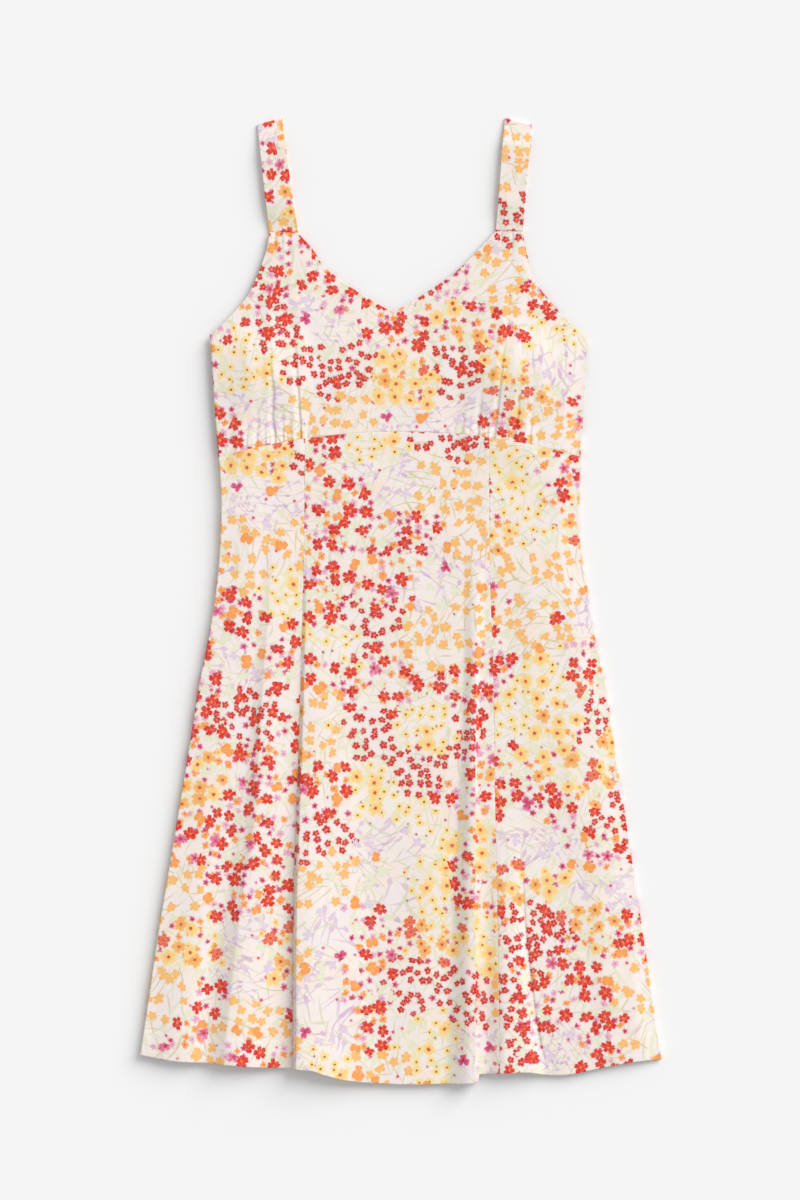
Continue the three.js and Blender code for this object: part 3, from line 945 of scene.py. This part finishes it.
back_skirt()
back_bodice()

# A strap's cross-section: a flat tube of cloth with rounded long edges
STRAP_SHARES = np.concatenate([
    -np.array([1, 0.9985, 0.994, 0.987, 0.978, 0.94]),
    np.linspace(-0.87, 0.87, 20),
    np.array([0.94, 0.978, 0.987, 0.994, 0.9985, 1]),
])
STRAP_HALF = 0.55
STRAP_LOW = STRAP_HALF + 0.02
STRAP_ROUND = 0.022
STRAP_TUCK_IN = 2.6
STRAP_HALF_WIDTH = 14.6
STRAP_LOOP = 4.0
STRAP_LOOP_ENDS = 0.3

# Its soft dents and creases, its crown, its sway, and how it sinks and thins where it goes
# under the bodice
STRAP_DENT = 0.22
STRAP_DENT_SIZE = 38
STRAP_CREASE = 0.12
STRAP_CREASE_SIZE = 13
STRAP_CROWN = 0.1
STRAP_BACK_DENTS = 0.3
STRAP_SWAY = 0.35
STRAP_SWAY_SIZE = 26
UNDER_FROM = 1.2
UNDER_LENGTH = 3.5
UNDER_SINKS = 0.75
UNDER_THINS = 0.45


def strap(node, turn, shift, seed):
    """Makes a strap from the back's top edge, over the shoulder fold, down to the front bodice"""
    place = STRAPS[node]
    corners = [np.array(place[side], float) for side in ("left", "right")]
    fold = np.array(place["fold"], float)
    along = fold - (corners[0] + corners[1]) / 2
    along /= np.linalg.norm(along)
    middle = CLOTH + SEAM_GAP / 2
    radius = middle - STRAP_HALF
    share = STRAP_SHARES
    across = (share + 1) / 2
    corner = corners[0] + (corners[1] - corners[0]) * across[:, None]
    start = corner @ along
    turn_at = fold @ along - middle + place["slant"] * share
    back = start + (BACK_TOP + SEAM_GAP - corner[:, 1]) / along[1]
    front = start - STRAP_TUCK_IN
    back_steps, front_steps = (np.linspace(0, 1, 120)[:count, None] for count in STRAP_STEPS)
    angles = np.linspace(-math.pi / 2, math.pi / 2, STRAP_TURN_STEPS)[1:-1, None]
    zeros = np.zeros_like(share)
    ahead = np.concatenate([
        back + (turn_at - back) * back_steps,
        turn_at + radius * np.cos(angles),
        turn_at + (front - turn_at) * front_steps / front_steps[-1],
    ])
    level = np.concatenate([
        np.full_like(back_steps, -1.0) + zeros,
        np.sin(angles) + zeros,
        np.full_like(front_steps, 1.0) + zeros,
    ])
    run = np.cumsum(np.abs(np.diff(ahead[:, :1], axis=0, prepend=ahead[:1, :1])), axis=0) + zeros
    on_front = (level > 0).astype(float)
    side = share * 15 + zeros
    shape = (
        STRAP_DENT * smooth_noise(run, side, STRAP_DENT_SIZE, seed)
        + STRAP_CREASE * smooth_noise(run, side, STRAP_CREASE_SIZE, seed + 1)
        - STRAP_CROWN * (share**2)
    )
    is_straight = (np.abs(level) == 1).astype(float)
    along_front = np.clip((ahead - start) / (turn_at - start), 0, 1)
    rise = STRAP_LOOP * on_front * ease(along_front / STRAP_LOOP_ENDS)
    rise = rise * ease((1 - along_front) / STRAP_LOOP_ENDS)
    dents = shape * np.where(level > 0, 1, STRAP_BACK_DENTS) * is_straight
    centre_z = middle + radius * level + dents + rise
    half = STRAP_HALF * np.sqrt(
        1 - np.clip((np.abs(share) - (1 - STRAP_ROUND)) / STRAP_ROUND, 0, 1) ** 2
    ) + zeros
    under_bodice = ease((start + UNDER_FROM - ahead) / UNDER_LENGTH) * on_front
    centre_z = centre_z - UNDER_SINKS * under_bodice
    half = half * (1 - UNDER_THINS * under_bodice)
    sway = STRAP_SWAY * smooth_noise(run, side * 0, STRAP_SWAY_SIZE, seed + 3) * is_straight
    plan = corner[None, :, :] + along * (ahead - start)[..., None]
    middle_line = (corners[0] + corners[1]) / 2 + along * (ahead - start)[..., None]
    narrowing = place["narrowing"] * ease((ahead - start) / (turn_at - start))
    plan = plan + (middle_line - plan) * narrowing[..., None]
    plan[..., 0] += sway
    outward = np.stack([
        np.where(is_straight > 0, 0, np.sqrt(np.maximum(1 - level**2, 0))), level,
    ], axis=-1)
    centre_z = np.maximum(centre_z, STRAP_LOW)

    def surface(way):
        points = np.zeros(ahead.shape + (3,))
        offset = outward * (half * way)[..., None]
        points[..., :2] = plan + along * offset[..., :1]
        points[..., 2] = centre_z + offset[..., 1]
        return points

    outer = surface(1)[::-1]
    inner = surface(-1)[::-1]
    uv = turned_map((share * STRAP_HALF_WIDTH + zeros)[::-1], run[::-1], turn, shift)
    shell(node, outer, inner, uv)


strap("strap_left", 7, (-120, 500), 101)
strap("strap_right", -6, (60, 655), 111)


def linear(colour):
    """A screen colour, 0 to 255, as the linear colour that nodes use, with full opacity"""
    return [((v / 255 + 0.055) / 1.055) ** 2.4 for v in colour] + [1]


class Wiring:
    """Short calls for the nodes and links of one material"""

    def __init__(self, name):
        self.material = bpy.data.materials.new(name)
        self.material.use_nodes = True
        self.nodes = self.material.node_tree.nodes
        self.links = self.material.node_tree.links
        self.nodes.clear()

    def node(self, kind, feeds, **settings):
        made = self.nodes.new(kind)
        for key, value in settings.items():
            setattr(made, key, value)
        for key, value in feeds.items():
            if isinstance(value, bpy.types.NodeSocket):
                self.links.new(value, made.inputs[key])
            else:
                made.inputs[key].default_value = value
        return made

    def math(self, operation, *values):
        feeds = dict(enumerate(values))
        return self.node("ShaderNodeMath", feeds, operation=operation).outputs[0]

    def times(self, first, second):
        return self.math("MULTIPLY", first, second)

    def minus(self, first, second):
        return self.math("SUBTRACT", first, second)

    def line(self, value, gain, start):
        """value times gain, plus start"""
        return self.math("MULTIPLY_ADD", value, gain, start)

    def vector(self, operation, *values):
        feeds = dict(enumerate(values))
        return self.node("ShaderNodeVectorMath", feeds, operation=operation).outputs[0]

    def scaled(self, vector, scale):
        return self.node(
            "ShaderNodeVectorMath", {0: vector, "Scale": scale}, operation="SCALE"
        ).outputs[0]

    def turned(self, vector, angle):
        return self.node(
            "ShaderNodeVectorRotate", {"Vector": vector, "Angle": angle}, rotation_type="Z_AXIS"
        ).outputs[0]

    def parts(self, vector):
        return self.node("ShaderNodeSeparateXYZ", {0: vector}).outputs[:3]

    def joined(self, x, y):
        return self.node("ShaderNodeCombineXYZ", {0: x, 1: y}).outputs[0]

    def mix(self, factor, first, second, blend="MIX"):
        return self.node(
            "ShaderNodeMix", {0: factor, 6: first, 7: second}, data_type="RGBA", blend_type=blend
        ).outputs[2]

    def noise(self, vector, detail):
        return self.node(
            "ShaderNodeTexNoise",
            {"Vector": vector, "Scale": 1.0, "Detail": detail},
            noise_dimensions="2D",
        )

    def wander(self, place, size, amount, detail):
        """A shift of up to half the amount each way, which changes over the given size"""
        noise = self.noise(self.scaled(place, 1 / size), detail).outputs["Color"]
        return self.scaled(self.vector("SUBTRACT", noise, (0.5, 0.5, 0.5)), amount)

    def cells(self, vector, randomness):
        return self.node(
            "ShaderNodeTexVoronoi",
            {"Vector": vector, "Scale": 1.0, "Randomness": randomness},
            voronoi_dimensions="2D",
        )

    def steps(self, factor, stops):
        """A colour and a fourth number that change in steps, from (place, four numbers)"""
        made = self.node("ShaderNodeValToRGB", {0: factor})
        ramp = made.color_ramp
        ramp.interpolation = "CONSTANT"
        ramp.elements.remove(ramp.elements[1])
        ramp.elements[0].position = 0
        ramp.elements[0].color = stops[0][1]
        for place, four in stops[1:]:
            ramp.elements.new(place).color = four
        return made.outputs

    def ramp(self, value, low, high):
        """0 at low and below, 1 at high and above"""
        return self.node(
            "ShaderNodeMapRange", {0: value, 1: low, 2: high, 3: 0.0, 4: 1.0}
        ).outputs[0]


# The print's motifs: screen colours of the petals, their tips and the centre, then the radius
# in mm, the number of petals, how deep the gaps between them are and the centre's radius
MOTIFS = {
    "none": ((246, 233, 225), (246, 233, 225), (246, 233, 225), 0, 5, 0.5, 0),
    "red": ((227, 52, 30), (205, 38, 30), (244, 126, 70), 8.6, 5, 0.6, 1.6),
    "red_side": ((220, 48, 31), (197, 35, 32), (238, 110, 66), 7.9, 4, 0.64, 1.2),
    "coral": ((236, 118, 80), (220, 74, 66), (208, 58, 50), 8.4, 5, 0.54, 1.4),
    "orange_pair": ((247, 162, 80), (245, 150, 70), (248, 172, 98), 7.9, 2, 0.74, 0.5),
    "magenta": ((222, 100, 140), (234, 140, 172), (194, 48, 70), 7.8, 5, 0.64, 2.1),
    "magenta_three": ((206, 62, 108), (222, 106, 150), (182, 44, 78), 8.0, 3, 0.78, 1.2),
    "bouquet": ((249, 206, 124), (251, 220, 154), (216, 80, 46), 9.8, 5, 0.42, 2.2),
    "amber": ((244, 172, 88), (247, 190, 116), (210, 82, 48), 9.0, 5, 0.48, 1.9),
    "crimson": ((211, 43, 36), (197, 36, 37), (239, 146, 112), 4.7, 5, 0.42, 0.95),
    "tan": ((248, 189, 108), (246, 180, 98), (248, 189, 108), 6.2, 5, 0.54, 0),
    "tan_pair": ((248, 191, 112), (246, 182, 102), (248, 191, 112), 6.1, 4, 0.6, 0),
    "yellow": ((249, 215, 136), (250, 223, 158), (138, 62, 36), 5.4, 5, 0.42, 1.25),
    "yellow_plain": ((249, 210, 134), (251, 222, 158), (234, 150, 76), 5.8, 5, 0.46, 1.4),
    "speck": ((158, 76, 48), (176, 96, 58), (140, 60, 40), 1.4, 2, 0.3, 0.7),
    "pink": ((214, 80, 114), (233, 156, 184), (182, 42, 66), 4.4, 5, 0.52, 1.8),
    "pale_pink": ((234, 176, 198), (224, 164, 198), (206, 84, 126), 4.4, 5, 0.52, 0.9),
    "small_orange": ((248, 165, 86), (245, 149, 72), (212, 94, 58), 4.6, 4, 0.5, 1.0),
    "lilac_cross": ((226, 208, 223), (218, 199, 218), (214, 192, 212), 6.2, 4, 0.88, 0.5),
    "pink_bud": ((215, 82, 100), (233, 140, 158), (215, 82, 100), 2.4, 1, 0.6, 0),
    "leaf_cluster": ((232, 230, 205), (228, 227, 196), (232, 230, 205), 6.9, 3, 0.86, 0),
}

# Brush strokes behind the flowers: screen colour and how much each thickens towards its tip
STROKES = {
    "none": ((246, 233, 225), 0),
    "leaf": ((228, 227, 200), 0.85),
    "bright_leaf": ((233, 228, 184), 0.85),
    "stem": ((220, 216, 188), 0.2),
    "olive_stem": ((216, 200, 156), 0.1),
    "lilac_bud": ((220, 198, 214), 1.0),
    "dark_lilac_bud": ((210, 183, 206), 0.92),
}

# Patches of the print, each with the share of the cloth that it covers and what grows there on
# the grids of large, middling and small motifs and as strokes, as shares of the grid's places
PATCHES = [
    (
        0.42,
        {"red": 0.51, "red_side": 0.17, "orange_pair": 0.13, "magenta": 0.05, "none": 0.14},
        {"leaf_cluster": 0.18, "small_orange": 0.16, "none": 0.66},
        {"pink": 0.24, "pale_pink": 0.16, "small_orange": 0.15, "pink_bud": 0.06, "none": 0.39},
        {"leaf": 0.32, "stem": 0.34, "none": 0.34},
    ),
    (
        0.11,
        {"none": 0.88, "red": 0.12},
        {"none": 0.95, "leaf_cluster": 0.05},
        {"crimson": 0.86, "pink": 0.05, "none": 0.09},
        {"leaf": 0.18, "stem": 0.34, "none": 0.48},
    ),
    (
        0.1,
        {"none": 0.93, "orange_pair": 0.07},
        {"tan": 0.52, "tan_pair": 0.22, "none": 0.26},
        {"pink_bud": 0.03, "speck": 0.03, "none": 0.94},
        {"olive_stem": 0.36, "leaf": 0.28, "none": 0.36},
    ),
    (
        0.09,
        {"none": 0.76, "bouquet": 0.24},
        {"yellow": 0.8, "leaf_cluster": 0.08, "none": 0.12},
        {"speck": 0.2, "none": 0.8},
        {"bright_leaf": 0.4, "stem": 0.3, "none": 0.3},
    ),
    (
        0.12,
        {"bouquet": 0.4, "amber": 0.34, "coral": 0.2, "none": 0.06},
        {"yellow_plain": 0.3, "leaf_cluster": 0.16, "none": 0.54},
        {"small_orange": 0.26, "pink": 0.16, "speck": 0.06, "none": 0.52},
        {"bright_leaf": 0.3, "leaf": 0.4, "none": 0.3},
    ),
    (
        0.16,
        {"none": 0.9, "magenta_three": 0.06, "orange_pair": 0.04},
        {"lilac_cross": 0.18, "leaf_cluster": 0.1, "none": 0.72},
        {"pink_bud": 0.04, "none": 0.96},
        {"lilac_bud": 0.38, "dark_lilac_bud": 0.22, "stem": 0.3, "none": 0.1},
    ),
]

# Size of the patches in mm, how far they are from squares, how ragged their edges are as a share
# of that size, and over how many mm that changes
PATCH_SIZE = 54
PATCH_LOOSE = 0.9
PATCH_RAGGED = 0.72
PATCH_RAGGED_SIZE = 24

# The share of a kind's stretch of the steps that draws use, and the margin before it
STRETCH_USED = 0.998
STRETCH_MARGIN = 0.0005

# What the tables' numbers are divided by, to be kept as colours on the steps
LARGEST_RADIUS = 12
MOST_PETALS = 8
LARGEST_MIDDLE = 4

# The grids of motifs: the row of the patch table, cell size in mm, how far from a square grid,
# the size of the notches in the petals and where the grid starts
GRIDS = [
    {"row": 3, "cell": 9.8, "loose": 0.82, "notch": 0.05, "start": (3.3, 47.1)},
    {"row": 2, "cell": 12.8, "loose": 0.8, "notch": 0.06, "start": (31.7, 12.9)},
    {"row": 1, "cell": 18.6, "loose": 0.84, "notch": 0.15, "start": (17.2, 5.4)},
]
NARROWEST = 0.74

# Layers of strokes: their main direction in degrees, spacing and length in mm, and start
STROKE_LAYERS = [
    {"turn": 24, "spacing": 6.8, "length": 31, "start": (5.2, 1.7)},
    {"turn": -38, "spacing": 7.8, "length": 33, "start": (15.9, 8.3)},
    {"turn": 78, "spacing": 9.4, "length": 27, "start": (27.1, 3.6)},
]
STROKE_ROW = 4
STROKE_SWAY = 52
STROKE_SWAY_SIZE = 80
STROKE_BEND = 5
STROKE_LOOSE = 0.95
STROKE_FILL = 0.46
STROKE_THIN = 0.72
STROKE_THICK = 1.75
STROKE_STRENGTH = 0.95

# The thick part along a stroke: a leaf's place and half length, and how much further on and how
# much shorter a bud's is. A stroke shows where its thickening is over the first limits, and is a
# bud where it is over the second ones
LEAF_AT = 0.28
LEAF_HALF = 0.58
BUD_FURTHER = 0.14
BUD_SHORTER = 0.33
DRAWN_LIMITS = (0.02, 0.06)
BUD_LIMITS = (0.82, 0.88)

# How soft an edge of print is, from outside it to inside, in mm
SOFT_EDGE = (-0.25, 0.55)
STROKE_SOFT_EDGE = (-0.3, 0.55)
MIDDLE_SOFT_EDGE = (-0.25, 0.35)

# The faint stain of its colour around each motif
HALO_REACH = 2.0
HALO = 0.25

# Spread and least share of the petals' lengths and of the motifs' sizes, how round a petal is,
# how wide its notch is, where its tip's colour starts and how much the centre follows the petals
PETAL_LENGTHS = (0.26, 0.82)
MOTIF_SIZES = (0.22, 0.88)
PETAL_ROUNDNESS = 0.6
NOTCH_REACH = 0.125
PETAL_SEED = 91.0
TIP_FROM = 0.45
MIDDLE_LOBES = (0.6, 0.5)


def motif_stops(row):
    """Steps for the four look-ups of one grid: petal, tip and centre colours, and the numbers"""
    looks = [[], [], [], []]
    for k, patch in enumerate(PATCHES):
        place = k / len(PATCHES)
        for name, share in patch[row].items():
            petal, tip, centre, radius, petals, depth, middle = MOTIFS[name]
            numbers = [
                radius / LARGEST_RADIUS, petals / MOST_PETALS, depth, middle / LARGEST_MIDDLE,
            ]
            for stops, four in zip(looks, (linear(petal), linear(tip), linear(centre), numbers)):
                stops.append((place, four))
            place += share / len(PATCHES)
    return looks


def stroke_stops():
    """Steps for the colour of a stroke, with its thickening as the fourth number"""
    stops = []
    for k, patch in enumerate(PATCHES):
        place = k / len(PATCHES)
        for name, share in patch[STROKE_ROW].items():
            colour, thickening = STROKES[name]
            stops.append((place, linear(colour)[:3] + [thickening]))
            place += share / len(PATCHES)
    return stops


def patch_value(w, place):
    """The patch in which a place of the cloth lies, as the start of its stretch of the steps"""
    ragged = w.wander(place, PATCH_RAGGED_SIZE, PATCH_RAGGED, 1.0)
    where = w.vector("ADD", w.scaled(place, 1 / PATCH_SIZE), ragged)
    pick = w.parts(w.cells(where, PATCH_LOOSE).outputs["Color"])[0]
    stops = []
    covered = 0
    for k, patch in enumerate(PATCHES):
        start = k / len(PATCHES)
        stops.append((covered, (start, start, start, 1)))
        covered += patch[0]
    return w.parts(w.steps(pick, stops)[0])[0]


def kind_of(w, patch, draw):
    """A place on the steps: a draw within a patch's stretch"""
    return w.math("ADD", w.line(draw, STRETCH_USED / len(PATCHES), patch), STRETCH_MARGIN)


def strokes(w, cloth, place, turn, spacing, length, start):
    """Lays long curved strokes, each thicker towards its tip, over the cloth's colour"""
    swayed = w.vector("ADD", place, w.wander(place, STROKE_SWAY_SIZE, STROKE_SWAY, 0.0))
    turned = w.turned(swayed, math.radians(turn))
    shrunk = w.vector("MULTIPLY", turned, (1 / spacing, 1 / length, 1))
    grid_place = w.vector("ADD", shrunk, (*start, 0))
    found = w.cells(grid_place, STROKE_LOOSE)
    draws = w.parts(found.outputs["Color"])
    offset = w.vector("SUBTRACT", grid_place, found.outputs["Position"])
    offset = w.vector("MULTIPLY", offset, (spacing, length, 0))
    patch = patch_value(w, w.vector("SUBTRACT", place, w.turned(offset, -math.radians(turn))))
    colour, thickening = w.steps(kind_of(w, patch, draws[0]), stroke_stops())
    x, y, _ = w.parts(offset)
    along = w.math("DIVIDE", y, length * STROKE_FILL)
    squared = w.times(along, along)
    bend = w.line(draws[1], STROKE_BEND, -STROKE_BEND / 2)
    aside = w.math("ABSOLUTE", w.line(bend, squared, x))
    is_bud = w.ramp(thickening, *BUD_LIMITS)
    from_thick = w.line(is_bud, -BUD_FURTHER, w.minus(along, LEAF_AT))
    from_thick = w.math("DIVIDE", from_thick, w.line(is_bud, -BUD_SHORTER, LEAF_HALF))
    thick = w.minus(1.0, w.times(from_thick, from_thick))
    thick = w.times(w.math("MAXIMUM", thick, 0.0), STROKE_THICK)
    thin = w.times(w.minus(1.0, squared), STROKE_THIN)
    half = w.line(thick, thickening, thin)
    cover = w.ramp(w.minus(half, aside), *STROKE_SOFT_EDGE)
    is_drawn = w.ramp(thickening, *DRAWN_LIMITS)
    cover = w.times(w.times(cover, is_drawn), STROKE_STRENGTH)
    return w.mix(cover, cloth, colour)


def motifs(w, cloth, place, row, cell, loose, notch, start):
    """Lays one grid of motifs over the cloth's colour"""
    grid_place = w.vector("ADD", w.scaled(place, 1 / cell), (*start, 0))
    found = w.cells(grid_place, loose)
    centre = found.outputs["Position"]
    draws = w.parts(found.outputs["Color"])
    from_start = w.vector("SUBTRACT", centre, (*start, 0))
    kind = kind_of(w, patch_value(w, w.scaled(from_start, cell)), draws[0])
    stops = motif_stops(row)
    petal, tip, middle = (w.steps(kind, stops[k])[0] for k in range(3))
    numbers = w.steps(kind, stops[3])
    radius, petals, depth = w.parts(numbers[0])
    offset = w.scaled(w.vector("SUBTRACT", grid_place, centre), cell)
    x, y, _ = w.parts(w.turned(offset, w.times(draws[1], math.tau)))
    y = w.math("DIVIDE", y, w.line(draws[2], 1 - NARROWEST, NARROWEST))
    far = w.node("ShaderNodeVectorMath", {0: w.joined(x, y)}, operation="LENGTH").outputs["Value"]
    count = w.math("ROUND", w.times(petals, MOST_PETALS))
    turns = w.math("ADD", w.math("DIVIDE", w.math("ARCTAN2", y, x), math.tau), 0.5)
    petal_place = w.times(turns, count)
    petal_number = w.math("MODULO", w.math("FLOOR", petal_place), count)
    uneven = w.node(
        "ShaderNodeTexWhiteNoise",
        {"Vector": w.joined(petal_number, w.times(draws[2], PETAL_SEED))},
        noise_dimensions="2D",
    ).outputs["Value"]
    aside = w.minus(w.math("FRACT", petal_place), 0.5)
    lobe = w.math("POWER", w.math("COSINE", w.times(aside, math.pi)), PETAL_ROUNDNESS)
    gap = w.times(w.minus(1.0, lobe), depth)
    dip = w.line(w.math("ABSOLUTE", aside), -notch / NOTCH_REACH, notch)
    edge = w.minus(w.minus(1.0, gap), w.math("MAXIMUM", dip, 0.0))
    edge = w.times(edge, w.line(uneven, *PETAL_LENGTHS))
    edge = w.times(edge, w.times(radius, LARGEST_RADIUS))
    edge = w.times(edge, w.line(draws[1], *MOTIF_SIZES))
    inside = w.minus(edge, far)
    halo = w.times(w.ramp(inside, -HALO_REACH, 0.0), HALO)
    cover = w.math("MAXIMUM", w.ramp(inside, *SOFT_EDGE), halo)
    from_middle = w.math("DIVIDE", far, w.math("MAXIMUM", edge, 0.01))
    colour = w.mix(w.ramp(from_middle, TIP_FROM, 1.0), petal, tip)
    middle_edge = w.times(numbers[1], LARGEST_MIDDLE)
    middle_edge = w.times(middle_edge, w.line(lobe, *MIDDLE_LOBES))
    in_middle = w.ramp(w.minus(middle_edge, far), *MIDDLE_SOFT_EDGE)
    colour = w.mix(in_middle, colour, middle)
    return w.mix(cover, cloth, colour)


# The ground and its faint washes of pink, green and grey, each with where it starts and is full
GROUND = (245, 233, 226)
WASHES = [
    ((247, 226, 214), 0.42, 0.72),
    ((242, 235, 221), 0.5, 0.74),
    ((242, 231, 229), 0.44, 0.6),
]
WASH_SIZE = 34

# How far the print's edges waver and how patchy its pigment is, each with its size in mm. Then
# the grain: changes across and along a thread for each mm, the weave's pitch in mm and its depth
# in metres, and how much and how dark the threads are shaded
SHAKE = 1.2
SHAKE_SIZE = 3.2
BLEED = 0.17
BLEED_SIZE = 3.4
THREADS_A_MM = 1.9
SLUBS_A_MM = 0.16
WEAVE_PITCH = 0.5
WEAVE_DEPTH = 0.00012
THREAD_SHADE = 0.05
THREAD_DARK = (0.55, 0.53, 0.5, 1)
WHITE = (1, 1, 1, 1)


def printed_cloth():
    w = Wiring("printed_cloth")
    uv = w.node("ShaderNodeUVMap", {}, uv_map="cloth").outputs[0]
    place = w.scaled(uv, 1 / MM)
    drawn = w.vector("ADD", place, w.wander(place, SHAKE_SIZE, SHAKE, 2.0))
    washed = w.parts(w.noise(w.scaled(place, 1 / WASH_SIZE), 2.0).outputs["Color"])
    cloth = linear(GROUND)
    for wash, (colour, low, high) in zip(washed, WASHES):
        cloth = w.mix(w.ramp(wash, low, high), cloth, linear(colour))
    for layer in STROKE_LAYERS:
        cloth = strokes(w, cloth, drawn, **layer)
    for grid in GRIDS:
        cloth = motifs(w, cloth, drawn, **grid)
    pigment = w.noise(w.scaled(place, 1 / BLEED_SIZE), 2.0).outputs[0]
    cloth = w.mix(w.times(w.ramp(pigment, 0.4, 0.8), BLEED), cloth, linear(GROUND))

    warp, weft = (
        w.noise(w.vector("MULTIPLY", place, (*stretch, 1.0)), 2.0).outputs[0]
        for stretch in ((THREADS_A_MM, SLUBS_A_MM), (SLUBS_A_MM, THREADS_A_MM))
    )
    threads = w.math("ADD", warp, weft)
    shade = w.mix(w.ramp(threads, 0.4, 1.5), THREAD_DARK, WHITE)
    cloth = w.mix(THREAD_SHADE, cloth, shade, "MULTIPLY")

    x, y, _ = w.parts(w.scaled(place, math.tau / WEAVE_PITCH))
    weave = w.times(w.math("SINE", x), w.math("SINE", y))
    height = w.line(threads, 0.5, w.times(weave, 0.35))
    bump = w.node(
        "ShaderNodeBump", {"Strength": 0.35, "Distance": WEAVE_DEPTH, "Height": height}
    ).outputs[0]
    shader = w.node(
        "ShaderNodeBsdfPrincipled",
        {"Base Color": cloth, "Normal": bump, "Roughness": 0.85, "Specular IOR Level": 0.25,
         "Sheen Weight": 0.12, "Sheen Roughness": 0.45},
    )
    w.node("ShaderNodeOutputMaterial", {0: shader.outputs[0]})
    return w.material


CLOTH_MATERIAL = printed_cloth()

# The node that each piece stands for, the flat size that it is cut to in metres and its flat
# area, and what it rests on
SHEETS = [
    ("front_bodice", (0.46, 0.245), 0.078, ["back_bodice"]),
    ("front_skirt_left", (0.183, 0.66), 0.081, ["back_skirt"]),
    ("front_skirt_centre", (0.225, 0.685), 0.146, ["back_skirt"]),
    ("front_skirt_right", (0.187, 0.67), 0.087, ["back_skirt"]),
    ("back_bodice", (0.396, 0.126), 0.042, []),
    ("back_skirt", (0.546, 0.667), 0.293, []),
    ("strap_left", (0.031, 0.345), 0.0103, ["back_bodice"]),
    ("strap_right", (0.029, 0.345), 0.0098, ["back_bodice"]),
]
for node, flat, area, rests_on in SHEETS:
    piece = PIECES[node]
    piece.data.materials.append(CLOTH_MATERIAL)
    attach(piece, "root")
    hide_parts(node)


# Light: its direction and size in degrees, its strength beside that of the plain surroundings
SUN_ELEVATION = 30
SUN_AZIMUTH = 46
SUN_SOFTNESS = 41
SUN_STRENGTH = 2.85
WORLD_STRENGTH = 0.56

# Floor and camera, in metres; the camera looks straight down
FLOOR_HALF = 25.0
FLOOR_LEVEL = -0.0004
FLOOR_COLOUR = (0.9, 0.9, 0.9, 1)
CAMERA_HEIGHT = 3.0
SENSOR = 36
VIEW_HEIGHT = 1.26
VIEW_CENTRE_X = -0.0005
VIEW_CENTRE_Y = 0.0015


def studio():
    floor_mesh = bpy.data.meshes.new("floor")
    corners = [(-1, -1), (1, -1), (1, 1), (-1, 1)]
    floor_mesh.from_pydata(
        [(x * FLOOR_HALF, y * FLOOR_HALF, FLOOR_LEVEL) for x, y in corners], [], [(0, 1, 2, 3)],
    )
    floor = add_object("floor", floor_mesh)
    w = Wiring("floor_paper")
    shader = w.node("ShaderNodeBsdfDiffuse", {"Color": FLOOR_COLOUR})
    w.node("ShaderNodeOutputMaterial", {0: shader.outputs[0]})
    floor_mesh.materials.append(w.material)

    world = bpy.data.worlds.new("studio")
    world.use_nodes = True
    background = world.node_tree.nodes["Background"]
    background.inputs["Color"].default_value = WHITE
    background.inputs["Strength"].default_value = WORLD_STRENGTH
    bpy.context.scene.world = world

    lamp = bpy.data.lights.new("soft_light", "SUN")
    lamp.energy = SUN_STRENGTH
    lamp.angle = math.radians(SUN_SOFTNESS)
    light = add_object("soft_light", lamp)
    light.rotation_euler = (
        math.radians(90 - SUN_ELEVATION), 0, math.radians(SUN_AZIMUTH + 90),
    )


def camera():
    lens_data = bpy.data.cameras.new("camera")
    lens_data.sensor_fit = "VERTICAL"
    lens_data.sensor_height = SENSOR
    lens_data.lens = SENSOR * CAMERA_HEIGHT / VIEW_HEIGHT
    lens_data.clip_end = 30
    view = add_object("camera", lens_data)
    view.location = (VIEW_CENTRE_X, VIEW_CENTRE_Y, CAMERA_HEIGHT)
    bpy.context.scene.camera = view


studio()
camera()
bpy.context.scene.view_settings.view_transform = "Standard"
